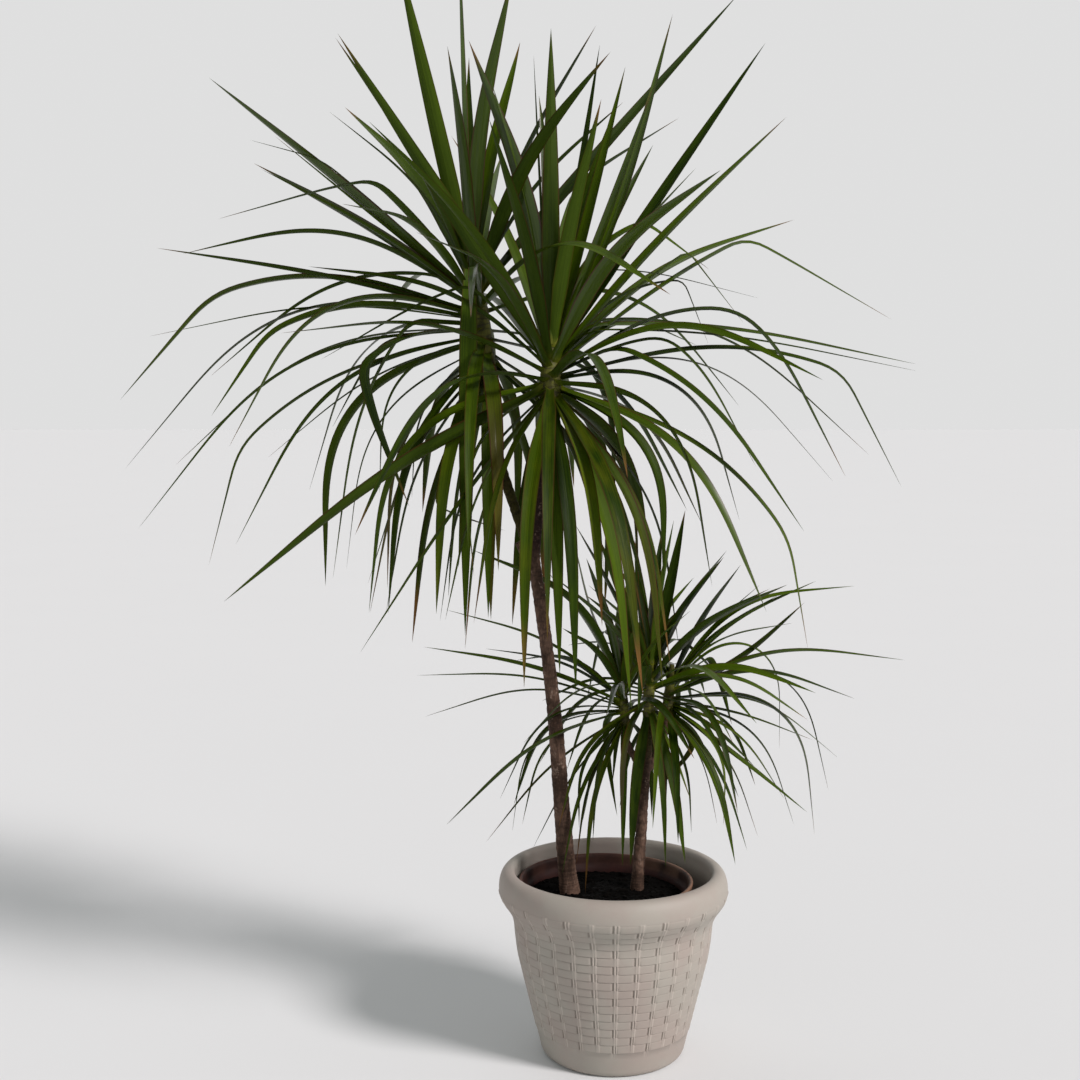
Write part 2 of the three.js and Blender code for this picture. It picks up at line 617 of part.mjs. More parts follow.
function nurseryGeometry() {
  const foot = PLANTER_WALL + GAP;
  const lipFoot = NURSERY_RIM_Z - NURSERY_LIP_H;
  const floor = foot + NURSERY_WALL;
  const geometry = turned([
    [0, foot], [NURSERY_BASE_R, foot], [NURSERY_NECK_R, lipFoot - 6], [NURSERY_RIM_R - 2, lipFoot],
    [NURSERY_RIM_R - 1, NURSERY_RIM_Z - 4], [NURSERY_RIM_R, NURSERY_RIM_Z - 2],
    [NURSERY_RIM_R - 0.8, NURSERY_RIM_Z], [NURSERY_RIM_R - 3, NURSERY_RIM_Z],
    [NURSERY_RIM_R - 5, lipFoot + 1], [NURSERY_NECK_R - NURSERY_WALL, lipFoot - 4],
    [nurseryInnerR(floor), floor], [0, floor],
  ], NURSERY_SIDES);
  return geometry.translate(NURSERY_X, 0, 0);
}

/** The root ball fills the nursery pot, with a low crown and a plain hole for each stem. */
function soilGeometry() {
  const foot = PLANTER_WALL + 2 * GAP + NURSERY_WALL;
  const footR = nurseryInnerR(foot) - 2 * GAP;
  const topR = nurseryInnerR(SOIL_Z) - 2 * GAP;
  const outline = [[0, foot], [footR, foot], [topR, SOIL_Z]];
  for (const share of [0.85, 0.6, 0.3]) {
    const swell = SOIL_CROWN * Math.cos(share * Math.PI / 2);
    outline.push([topR * share, SOIL_Z + swell]);
  }
  outline.push([0, SOIL_Z + SOIL_CROWN]);
  let soil = toSolid(turned(outline, NURSERY_SIDES).translate(NURSERY_X, 0, 0));
  for (const trunk of [TALL_TRUNK, SHORT_TRUNK]) {
    const [x, y, , radius] = trunk[0];
    const flare = Math.max(...trunk.map((point) => point[3]));
    const depth = SOIL_Z + 2 * SOIL_CROWN - HOLE_Z + GAP;
    const hole = new THREE.CylinderGeometry(flare + 2 * GAP, radius + 2 * GAP, depth, 16);
    hole.rotateX(Math.PI / 2).translate(x, y, HOLE_Z - GAP + depth / 2);
    soil = soil.subtract(toSolid(weld(hole)));
  }
  return weld(toGeometry(soil));
}

function stemGeometry(trunk, branches) {
  const tubes = [taperedTube(trunk, STEM_SIDES, 2 * (trunk.length - 1))];
  for (const branch of branches) tubes.push(taperedTube(branch, STEM_SIDES, branch.length - 1));
  return fuse(tubes);
}

function crownGeometry(head, leaves) {
  const neck = taperedTube(head.neck, STEM_SIDES, 2 * (head.neck.length - 1));
  return fuse([neck, ...leaves.map(blade)]);
}

// ---------------------------------------------------------------- the plant

const object = new THREE.Group();

function addPiece(name, geometry, colour, roughness) {
  const material = new THREE.MeshStandardMaterial({ color: colour, roughness, metalness: 0 });
  const mesh = new THREE.Mesh(geometry, material);
  mesh.name = name;
  object.add(mesh);
}

const TALL_BRANCHES = [TALL_LEFT_BRANCH, TALL_RIGHT_BRANCH, TALL_STUB];
const SHORT_BRANCHES = [SHORT_LEFT_BRANCH, SHORT_MIDDLE_BRANCH, SHORT_RIGHT_BRANCH];
const placedLeaves = growLeaves(HEADS, [TALL_TRUNK, SHORT_TRUNK, ...TALL_BRANCHES, ...SHORT_BRANCHES]);

addPiece('planter', planterGeometry(), 0xb4a59c, 0.55);
addPiece('nursery_pot', nurseryGeometry(), 0x4a2a1f, 0.6);
addPiece('soil', soilGeometry(), 0x14110e, 0.95);
addPiece('tall_trunk', stemGeometry(TALL_TRUNK, TALL_BRANCHES), 0x6a5145, 0.85);
addPiece('short_trunk', stemGeometry(SHORT_TRUNK, SHORT_BRANCHES), 0x6a5145, 0.85);
HEADS.forEach((head, h) => {
  const leaves = placedLeaves.filter((entry) => entry.head === h).map((entry) => entry.leaf);
  addPiece(head.name, crownGeometry(head, leaves), 0x2c4414, 0.4);
});

export default object;
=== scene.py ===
"""A potted dracaena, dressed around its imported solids.

Two woody stems with five heads of long narrow leaves stand in a nursery pot inside a woven-look
planter. Shapes are worked out in millimetres and become metres when a mesh is made. The leaves are
placed by the same seeded rule as the solids they stand for, so each fine blade lies where its solid is.
"""
import logging
import math
from collections.abc import Sequence
from dataclasses import dataclass, field
from enum import Enum
from itertools import combinations

import bpy
import numpy as np
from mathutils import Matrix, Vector, kdtree


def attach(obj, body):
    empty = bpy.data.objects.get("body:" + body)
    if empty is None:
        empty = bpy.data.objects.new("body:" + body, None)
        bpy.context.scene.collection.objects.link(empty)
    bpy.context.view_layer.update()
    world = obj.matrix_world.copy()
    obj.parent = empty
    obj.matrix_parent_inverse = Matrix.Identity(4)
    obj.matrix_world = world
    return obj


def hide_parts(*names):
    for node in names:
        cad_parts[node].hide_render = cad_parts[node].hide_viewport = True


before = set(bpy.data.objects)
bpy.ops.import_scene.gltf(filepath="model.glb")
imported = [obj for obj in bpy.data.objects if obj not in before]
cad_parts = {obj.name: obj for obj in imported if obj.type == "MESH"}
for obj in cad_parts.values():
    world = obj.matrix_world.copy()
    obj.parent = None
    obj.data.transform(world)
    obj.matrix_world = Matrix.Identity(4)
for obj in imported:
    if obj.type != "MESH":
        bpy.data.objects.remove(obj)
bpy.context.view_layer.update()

MM = 0.001
BODY = "root"
GOLDEN_ANGLE = 137.508
AXIS_R = 2  # radius at which a turned outline starts and ends

Colour = tuple[float, float, float]
Spot = tuple[float, float]
Point = tuple[float, float, float, float]

# Stem centrelines: (x, y, z, radius) in millimetres from the buried end up.
TALL_TRUNK = (
    (-52, 6, 110, 11), (-52, 6, 178, 11), (-52, 6, 190, 13), (-55, 6, 216, 11), (-62, 5, 300, 9.8),
    (-69, 4, 391, 9), (-80, 2, 490, 7.8), (-93, 0, 580, 7.6), (-97, -1, 606, 7),
)
TALL_LEFT_BRANCH = (
    (-93, 0, 582, 6), (-102, 4, 612, 6.8), (-120, 12, 662, 6.2), (-136, 21, 712, 6.4),
    (-142, 25, 738, 7), (-142, 25, 748, 7.4),
)
TALL_RIGHT_BRANCH = (
    (-94, 0, 584, 6), (-93, -4, 622, 6.6), (-88, -14, 670, 6.4), (-80, -25, 712, 6.8),
    (-77, -30, 738, 8), (-77, -30, 748, 9),
)
TALL_STUB = ((-95, 0, 592, 5), (-105, -3, 604, 6.6), (-112, -5, 618, 6.2))
SHORT_TRUNK = (
    (30, 17, 110, 7.6), (30, 17, 178, 7.6), (30, 17, 190, 8.6), (31, 17, 206, 7.8), (36, 17, 280, 6.6),
    (39, 17, 337, 6.4), (40, 16, 350, 5.4),
)
SHORT_LEFT_BRANCH = (
    (38, 17, 326, 3.6), (29, 18, 348, 4.3), (20, 19, 366, 4.1), (15, 20, 381, 4.4), (15, 20, 388, 4.6),
)
SHORT_MIDDLE_BRANCH = (
    (39, 17, 334, 4.4), (42, 12, 360, 5), (42, 6, 382, 4.8), (42, 3, 397, 5.2), (42, 3, 404, 5.6),
)
SHORT_RIGHT_BRANCH = (
    (39, 17, 330, 3.8), (50, 22, 352, 4.8), (60, 26, 374, 4.8), (66, 28, 391, 5.2), (66, 28, 398, 5.4),
)


# ---------------------------------------------------------------- small maths

def srgb(red: int, green: int, blue: int) -> Colour:
    """A linear colour from screen values.

    Args:
        red: Red as a screen shows it, 0 to 255.
        green: Green likewise.
        blue: Blue likewise.

    Returns:
        The colour that shaders work with.
    """
    def linear(value: int) -> float:
        """One channel in linear light."""
        share = value / 255
        return share / 12.92 if share <= 0.04045 else ((share + 0.055) / 1.055) ** 2.4

    return linear(red), linear(green), linear(blue)


def smooth(value: np.ndarray, low: float, high: float) -> np.ndarray:
    """A share for each value, which rises smoothly from 0 at low to 1 at high."""
    share = np.clip((value - low) / (high - low), 0, 1)
    return share * share * (3 - 2 * share)


# Numbers of a common hash, and of the crossed waves that make lumps.
HASH_STEP = 12.9898
HASH_SALT = 78.233
HASH_SCALE = 43758.5453
WAVES = 4
WAVE_TURN = 2.4
WAVE_TILT = 1.7
WAVE_SHIFT = 5
WAVE_SCALES = (2.1, 1.9, 2.3)


def hashed(number: np.ndarray, salt: float) -> np.ndarray:
    """A repeatable scatter of 0 to 1 for whole numbers, which the salt changes."""
    mixed = np.sin(number * HASH_STEP + salt * HASH_SALT) * HASH_SCALE
    return mixed - np.floor(mixed)


def rolling(first: np.ndarray, second: np.ndarray, third: np.ndarray, salt: float) -> np.ndarray:
    """Smooth lumps from a few crossed waves.

    Args:
        first: First coordinate, in lumps.
        second: Second coordinate, in lumps.
        third: Third coordinate, in lumps.
        salt: Changes the lumps.

    Returns:
        Heights from about -1 to 1.
    """
    total = np.zeros_like(first)
    one, two, three = WAVE_SCALES
    for wave in range(WAVES):
        angle = salt + wave * WAVE_TURN
        total += np.sin(first * math.cos(angle) * one + second * math.sin(angle) * two
                        + third * math.cos(angle * WAVE_TILT) * three + angle * WAVE_SHIFT)
    return total / WAVES


# ---------------------------------------------------------------- meshes

def label_corners(mesh: bpy.types.Mesh, values: dict[str, np.ndarray]) -> None:
    """Keeps numbers at a mesh's corners, where its material reads them.

    Args:
        mesh: The mesh.
        values: One number for each corner, by label.
    """
    for label, numbers in values.items():
        attribute = mesh.attributes.new(label, "FLOAT", "POINT")
        attribute.data.foreach_set("value", np.asarray(numbers, dtype=np.float32))
    mesh.update()
    mesh.shade_smooth()


@dataclass
class Surface:
    """Corners, faces and corner values of one mesh, in millimetres."""

    points: np.ndarray
    faces: list[tuple[int, ...]]
    values: dict[str, np.ndarray] = field(default_factory=dict)

    @staticmethod
    def joined(parts: Sequence["Surface"]) -> "Surface":
        """Several surfaces as one.

        Args:
            parts: Surfaces that hold the same values.

        Returns:
            One surface with all their corners and faces.
        """
        faces: list[tuple[int, ...]] = []
        start = 0
        for part in parts:
            faces += [tuple(corner + start for corner in face) for face in part.faces]
            start += len(part.points)
        values = {name: np.concatenate([part.values[name] for part in parts]) for name in parts[0].values}
        return Surface(np.concatenate([part.points for part in parts]), faces, values)

    def piece(self, name: str, crease: float | None = None) -> bpy.types.Object:
        """Makes a smooth-shaded object of the surface, in metres.

        Args:
            name: The piece's name.
            crease: Faces that meet at more than this many degrees meet in a sharp line, if given.

        Returns:
            The new object, linked to the scene.
        """
        mesh = bpy.data.meshes.new(name)
        mesh.from_pydata((self.points * MM).tolist(), [], self.faces)
        label_corners(mesh, self.values)
        if crease:
            mesh.set_sharp_from_angle(angle=math.radians(crease))
        made = bpy.data.objects.new(name, mesh)
        bpy.context.scene.collection.objects.link(made)
        return made


def ring_faces(rings: int, sides: int) -> list[tuple[int, ...]]:
    """Four-sided faces between rings of corners.

    Args:
        rings: Number of rings.
        sides: Corners in each ring.

    Returns:
        Faces that run round each pair of rings.
    """
    faces = []
    for i in range(rings - 1):
        for j in range(sides):
            near, beside = i * sides + j, i * sides + (j + 1) % sides
            faces.append((near, beside, beside + sides, near + sides))
    return faces


LENGTH_STEPS = 200
FEWEST_RINGS = 4


@dataclass(frozen=True)
class StemPath:
    """A smooth centreline through (x, y, z, radius) points, as the solids' tubes have."""

    knots: Sequence[Point]

    def at(self, shares: np.ndarray) -> tuple[np.ndarray, np.ndarray]:
        """Places along the path.

        Args:
            shares: Places from 0 at the path's start to 1 at its end.

        Returns:
            A centre and a radius for each share.
        """
        knots = np.array(self.knots, dtype=float)
        places = knots[:, :3]
        padded = np.vstack([2 * places[0] - places[1], places, 2 * places[-1] - places[-2]])
        scaled = np.clip(shares, 0, 1) * (len(knots) - 1)
        before = np.minimum(scaled.astype(int), len(knots) - 2)
        share = (scaled - before)[:, None]
        four = [padded[before + k] for k in range(4)]
        gaps = [np.linalg.norm(four[k + 1] - four[k], axis=1)[:, None] ** 0.5 for k in range(3)]
        leave = (four[1] - four[0]) / gaps[0] - (four[2] - four[0]) / (gaps[0] + gaps[1])
        leave = (leave + (four[2] - four[1]) / gaps[1]) * gaps[1]
        arrive = (four[2] - four[1]) / gaps[1] - (four[3] - four[1]) / (gaps[1] + gaps[2])
        arrive = (arrive + (four[3] - four[2]) / gaps[2]) * gaps[1]
        square, cube = share ** 2, share ** 3
        centre = (four[1] + leave * share + (3 * (four[2] - four[1]) - 2 * leave - arrive) * square
                  + (2 * (four[1] - four[2]) + leave + arrive) * cube)
        radius = knots[before, 3] + (knots[before + 1, 3] - knots[before, 3]) * share[:, 0]
        return centre, radius

    def length(self) -> float:
        """Length of the path in millimetres."""
        centre, _ = self.at(np.linspace(0, 1, LENGTH_STEPS))
        return float(np.linalg.norm(np.diff(centre, axis=0), axis=1).sum())

    def tube(self, step: float, sides: int) -> Surface:
        """A closed round tube along the path, with the distance along it and the angle round it.

        Args:
            step: Distance between rings.
            sides: Corners in each ring.

        Returns:
            The tube, with the values reach and turn.
        """
        count = max(int(self.length() / step), FEWEST_RINGS)
        shares = np.linspace(0, 1, count + 1)
        centre, radius = self.at(shares)
        along = np.gradient(centre, axis=0)
        along /= np.linalg.norm(along, axis=1)[:, None]
        axis_a = np.cross(np.array([0.0, 1.0, 0.0]), along)
        axis_a /= np.linalg.norm(axis_a, axis=1)[:, None]
        axis_b = np.cross(along, axis_a)
        angle = np.arange(sides) / sides * 2 * math.pi
        cosine, sine = np.cos(angle)[None, :, None], np.sin(angle)[None, :, None]
        out = axis_a[:, None] * cosine + axis_b[:, None] * sine
        rings = centre[:, None] + radius[:, None, None] * out
        faces = ring_faces(count + 1, sides)
        last = count * sides
        faces += [tuple(range(sides - 1, -1, -1)), tuple(range(last, last + sides))]
        reach = np.concatenate([[0], np.cumsum(np.linalg.norm(np.diff(centre, axis=0), axis=1))])
        values = {"reach": np.repeat(reach, sides), "turn": np.tile(angle, count + 1)}
        return Surface(rings.reshape(-1, 3), faces, values)


SCARS_EACH_WAY = 3
SCAR_JITTER = 0.7
SCAR_DIP = 0.9
SCAR_FULL_TO = 1.2
SCAR_ENDS_AT = 2.1
SCAR_LEAST = 0.45
SCAR_SALTS = (3.1, 7.7)


def leaf_scars(reach: np.ndarray, turn: np.ndarray, pitch: float, width: float) -> np.ndarray:
    """The crescents that fallen leaves leave round a stem, in a spiral.

    Args:
        reach: Distance along the stem.
        turn: Angle round the stem.
        pitch: Distance along the stem from one scar to the next.
        width: Width of the groove.

    Returns:
        0 on plain bark to 1 in the middle of a scar.
    """
    deepest = np.zeros_like(reach)
    nearest = np.round(reach / pitch)
    for step in range(-SCARS_EACH_WAY, SCARS_EACH_WAY + 1):
        number = nearest + step
        offset = np.angle(np.exp(1j * (turn - np.radians(GOLDEN_ANGLE) * number)))
        shift, strength = (hashed(number, salt) for salt in SCAR_SALTS)
        middle = pitch * (number + SCAR_JITTER * (shift - 0.5))
        middle = middle - SCAR_DIP * pitch * np.cos(offset)
        reachable = smooth(-np.abs(offset), -SCAR_ENDS_AT, -SCAR_FULL_TO)
        reachable = reachable * (SCAR_LEAST + (1 - SCAR_LEAST) * strength)
        deepest = np.maximum(deepest, reachable * np.exp(-((reach - middle) / width) ** 2))
    return deepest


# ---------------------------------------------------------------- shader sheets

class Wire:
    """An output of a shader node that takes part in Python arithmetic."""

    def __init__(self, sheet: "Sheet", socket: bpy.types.NodeSocket) -> None:
        """Wraps a socket of a sheet."""
        self.sheet = sheet
        self.socket = socket

    def maths(self, operation: str, *values: "Wire | float") -> "Wire":
        """The output of a new Math node with this operation and these inputs."""
        names = ("Value", "Value_001", "Value_002")
        return self.sheet.add("ShaderNodeMath", {"operation": operation}, dict(zip(names, values)))

    def __add__(self, other: "Wire | float") -> "Wire":
        """Sum of two values."""
        return self.maths("ADD", self, other)

    def __sub__(self, other: "Wire | float") -> "Wire":
        """This value less another."""
        return self.maths("SUBTRACT", self, other)

    def __rsub__(self, other: float) -> "Wire":
        """Another value less this one."""
        return self.maths("SUBTRACT", other, self)

    def __mul__(self, other: "Wire | float") -> "Wire":
        """Product of two values."""
        return self.maths("MULTIPLY", self, other)

    def __abs__(self) -> "Wire":
        """The value without its sign."""
        return self.maths("ABSOLUTE", self)

    def fraction(self) -> "Wire":
        """The part of the value behind its decimal point."""
        return self.maths("FRACT", self)

    __radd__ = __add__
    __rmul__ = __mul__

    def rise(self, low: float, high: float, first: float = 0.0, last: float = 1.0) -> "Wire":
        """The value turned smoothly, from first where it is low or less to last where it is high."""
        ends = {"Value": self, "From Min": low, "From Max": high, "To Min": first, "To Max": last}
        return self.sheet.add("ShaderNodeMapRange", {"interpolation_type": "SMOOTHSTEP"}, ends)


Input = Wire | float | Sequence[float]


class Sheet:
    """The node tree of one material or of the world."""

    def __init__(self, tree: bpy.types.NodeTree) -> None:
        """Starts the tree empty."""
        self.tree = tree
        tree.nodes.clear()

    def add(self, kind: str, settings: dict | None = None, values: dict[str, Input] | None = None,
            output: str | None = None) -> Wire:
        """Adds a node of any type.

        Args:
            kind: The node's type.
            settings: Its settings.
            values: A number, a colour or a wire for each named input.
            output: The output to give back, or None for the first.

        Returns:
            That output.
        """
        node = self.tree.nodes.new(kind)
        for name, setting in (settings or {}).items():
            setattr(node, name, setting)
        for name, value in (values or {}).items():
            socket = next(s for s in node.inputs if name in (s.identifier, s.name))
            if isinstance(value, Wire):
                self.tree.links.new(value.socket, socket)
            elif isinstance(value, (int, float)):
                socket.default_value = value
            else:
                socket.default_value = (*value, 1.0)[:len(socket.default_value)]
        outputs = [s for s in node.outputs if output is None or output in (s.identifier, s.name)]
        return Wire(self, outputs[0] if outputs else None)

    def read(self, label: str) -> Wire:
        """A value that the mesh holds at its corners."""
        return self.add("ShaderNodeAttribute", {"attribute_name": label}, output="Fac")

    def place(self) -> Wire:
        """Place on the piece, in metres."""
        return self.add("ShaderNodeTexCoord", output="Object")

    def stretched(self, vector: Wire, scale: Sequence[float]) -> Wire:
        """A place with each of its directions scaled."""
        values = {"Vector": vector, "Vector_001": scale}
        return self.add("ShaderNodeVectorMath", {"operation": "MULTIPLY"}, values)

    def together(self, x: Input, y: Input, z: Input) -> Wire:
        """Three values as one vector."""
        return self.add("ShaderNodeCombineXYZ", values={"X": x, "Y": y, "Z": z})

    def noise(self, vector: Wire, scale: float, detail: float = 3.0, rough: float = 0.55) -> Wire:
        """Soft random patches of about 0.3 to 0.7, with finer layers of some roughness on top."""
        values = {"Vector": vector, "Scale": scale, "Detail": detail, "Roughness": rough}
        return self.add("ShaderNodeTexNoise", None, values)

    def mix(self, share: Input, first: Input, second: Input) -> Wire:
        """A colour between two colours, the first where the share is 0."""
        values = {"Factor_Float": share, "A_Color": first, "B_Color": second}
        return self.add("ShaderNodeMix", {"data_type": "RGBA"}, values, "Result_Color")

    def coated(self, colour: Input, *coats: tuple[Input, Colour]) -> Input:
        """A colour under thin coats of other colours.

        Args:
            colour: The lowest colour.
            *coats: How much each coat hides, 0 to 1, and its colour, from the lowest up.

        Returns:
            The colour that shows.
        """
        for share, coat in coats:
            colour = self.mix(share, colour, coat)
        return colour

    def drawn_out(self, place: Wire, scale: Sequence[float], detail: float = 3.0,
                  rough: float = 0.55) -> Wire:
        """Soft random patches with a scale of their own in each direction."""
        return self.noise(self.stretched(place, scale), 1.0, detail, rough)

    def bump(self, height: Wire, depth: float) -> Wire:
        """The normal bent by a height of 0 to 1, which stands for that depth in metres."""
        return self.add("ShaderNodeBump", None, {"Height": height, "Distance": depth, "Strength": 1.0})


def plain_material(name: str, looks: "Finish") -> bpy.types.Material:
    """A material from a finish.

    Args:
        name: The material's name.
        looks: The finish, which fills the shader's sockets.

    Returns:
        The material.
    """
    material = bpy.data.materials.new(name)
    material.use_nodes = True
    sheet = Sheet(material.node_tree)
    shader = sheet.add("ShaderNodeBsdfPrincipled", None, looks.sockets(sheet))
    sheet.add("ShaderNodeOutputMaterial", None, {"Surface": shader})
    return material


class Finish:
    """What a surface looks like."""

    def sockets(self, sheet: Sheet) -> dict[str, Input]:
        """What the surface's shader gets on each socket."""
        raise NotImplementedError


@dataclass(frozen=True)
class MouldedPlastic(Finish):
    """Satin taupe plastic with dust and painted shade in its grooves and a painted highlight on its
    canes.
    """

    body: Colour = srgb(156, 151, 142)
    warm: Colour = srgb(154, 144, 136)
    dust_and_shade: Colour = srgb(92, 82, 74)
    painted_highlight: Colour = srgb(190, 180, 170)
    cloud_scale: float = 14.0
    grain_scale: float = 1600.0
    streak_scale: tuple[float, ...] = (60.0, 60.0, 420.0)
    roughness: float = 0.5
    grain_depth: float = 0.00012

    def sockets(self, sheet: Sheet) -> dict[str, Input]:
        """Mottled body, dust and painted shade in the grooves, painted highlight on the canes, fine
        grain.

        Args:
            sheet: The material's node tree.

        Returns:
            What the surface's shader gets on each socket.
        """
        place, groove, crest = sheet.place(), sheet.read("groove"), sheet.read("crest")
        cloud = sheet.noise(place, self.cloud_scale, 4.0)
        grain = sheet.noise(place, self.grain_scale, 2.0)
        streak = sheet.drawn_out(place, self.streak_scale)
        colour = sheet.coated(
            self.body,
            (cloud.rise(0.35, 0.65), self.warm),
            # groove: dust and painted shade in the slots and under each row.
            (groove * (0.35 + 0.7 * cloud), self.dust_and_shade),
            # crest: a painted highlight on the canes, weaker on the left-hand one.
            (crest * (0.25 + 0.5 * cloud), self.painted_highlight))
        return {"Base Color": colour, "Roughness": self.roughness + 0.12 * cloud + 0.1 * groove,
                "Specular IOR Level": 0.28,
                "Normal": sheet.bump(0.6 * grain + 0.5 * streak, self.grain_depth)}


@dataclass(frozen=True)
class NurseryPlastic(Finish):
    """Terracotta-brown plastic with scuffs and a painted highlight on its lip, stained inside by soil."""

    body: Colour = srgb(62, 27, 21)
    scuff_and_highlight: Colour = srgb(120, 92, 74)
    stained: Colour = srgb(32, 14, 11)
    cloud_scale: float = 38.0
    scratch_scale: tuple[float, ...] = (90.0, 90.0, 900.0)
    scratch_depth: float = 0.0002

    def sockets(self, sheet: Sheet) -> dict[str, Input]:
        """Brown body, scuffs and a painted highlight on the lip, and dark stains near the soil.

        Args:
            sheet: The material's node tree.

        Returns:
            What the surface's shader gets on each socket.
        """
        place, lip, inside = sheet.place(), sheet.read("lip"), sheet.read("inside")
        cloud = sheet.noise(place, self.cloud_scale, 5.0)
        scratch = sheet.drawn_out(place, self.scratch_scale)
        colour = sheet.coated(
            self.body,
            # Scuffs on the lip, with a painted highlight that is strongest on the lit right side.
            (lip * cloud.rise(0.25, 0.5), self.scuff_and_highlight),
            (inside * cloud.rise(0.7, 0.3, 0.35, 0.9), self.stained))
        return {"Base Color": colour, "Roughness": 0.48 + 0.25 * cloud, "Specular IOR Level": 0.25,
                "Normal": sheet.bump(0.7 * scratch + 0.3 * cloud, self.scratch_depth)}


@dataclass(frozen=True)
class PottingMix(Finish):
    """Moist dark soil with lighter fibres and bark crumbs."""

    moist: Colour = srgb(4, 3, 2)
    crumb: Colour = srgb(14, 11, 8)
    grain_scale: float = 420.0
    patch_scale: float = 60.0
    grain_depth: float = 0.0012

    def sockets(self, sheet: Sheet) -> dict[str, Input]:
        """Near-black soil, browner on its lumps, with a coarse grain.

        Args:
            sheet: The material's node tree.

        Returns:
            What the surface's shader gets on each socket.
        """
        place = sheet.place()
        grain = sheet.noise(place, self.grain_scale, 5.0, 0.7)
        patch = sheet.noise(place, self.patch_scale, 3.0)
        share = sheet.read("crumb") * 0.5 + grain.rise(0.55, 0.8) * patch.rise(0.4, 0.6) * 0.5
        return {"Base Color": sheet.mix(share, self.moist, self.crumb),
                "Roughness": 0.95 - 0.25 * patch.rise(0.5, 0.65), "Specular IOR Level": 0.06,
                "Normal": sheet.bump(grain, self.grain_depth)}


@dataclass(frozen=True)
class Bark(Finish):
    """Fibrous ringed bark that turns green or maroon towards the young ends."""

    pale: Colour = srgb(112, 88, 74)
    brown: Colour = srgb(62, 46, 36)
    bloom: Colour = srgb(178, 154, 138)
    crack: Colour = srgb(28, 21, 18)
    olive: Colour = srgb(72, 67, 30)
    maroon: Colour = srgb(48, 31, 27)
    fibre_scale: tuple[float, ...] = (900.0, 900.0, 130.0)
    patch_scale: tuple[float, ...] = (60.0, 60.0, 26.0)
    fleck_scale: tuple[float, ...] = (240.0, 240.0, 520.0)
    blotch_scale: tuple[float, ...] = (110.0, 110.0, 60.0)
    fibre_depth: float = 0.0005

    def sockets(self, sheet: Sheet) -> dict[str, Input]:
        """Patchy bark with dark scars, flecks and fibres that run along the stem.

        Args:
            sheet: The material's node tree.

        Returns:
            What the surface's shader gets on each socket.
        """
        place = sheet.place()
        fibre = sheet.drawn_out(place, self.fibre_scale, 5.0, 0.65)
        patch = sheet.drawn_out(place, self.patch_scale, 4.0)
        fleck = sheet.drawn_out(place, self.fleck_scale)
        blotch = sheet.drawn_out(place, self.blotch_scale)
        colour = sheet.coated(
            self.pale,
            (patch.rise(0.38, 0.62), self.brown),
            (sheet.read("olive"), self.olive),
            (sheet.read("maroon"), self.maroon),
            (fleck.rise(0.56, 0.7) * 0.5, self.pale),
            (blotch.rise(0.6, 0.72) * fleck.rise(0.4, 0.55) * 0.6, self.bloom),
            (blotch.rise(0.4, 0.3) * 0.3, self.crack),
            (sheet.read("scar") * (0.25 + 0.45 * patch), self.crack),
            (fibre.rise(0.62, 0.45) * 0.4, self.crack))
        return {"Base Color": colour, "Roughness": 0.72 + 0.2 * fibre, "Specular IOR Level": 0.15,
                "Normal": sheet.bump(0.6 * fibre + 0.4 * fleck, self.fibre_depth)}


@dataclass(frozen=True)
class GreenNeck(Finish):
    """The green ringed end of a stem where leaves have just been shed."""

    fresh: Colour = srgb(90, 92, 24)
    ripe: Colour = srgb(60, 60, 16)
    ring: Colour = srgb(34, 26, 12)
    fibre_scale: tuple[float, ...] = (700.0, 700.0, 90.0)
    patch_scale: float = 90.0
    fibre_depth: float = 0.0003

    def sockets(self, sheet: Sheet) -> dict[str, Input]:
        """Yellow-green between dark rings.

        Args:
            sheet: The material's node tree.

        Returns:
            What the surface's shader gets on each socket.
        """
        place = sheet.place()
        fibre = sheet.drawn_out(place, self.fibre_scale, 4.0)
        patch = sheet.noise(place, self.patch_scale, 3.0)
        colour = sheet.coated(
            self.fresh,
            (patch.rise(0.4, 0.6), self.ripe),
            (sheet.read("scar") * 0.8, self.ring),
            (fibre.rise(0.6, 0.42) * 0.3, self.ring))
        return {"Base Color": colour, "Roughness": 0.5 + 0.2 * fibre, "Specular IOR Level": 0.25,
                "Normal": sheet.bump(fibre, self.fibre_depth)}


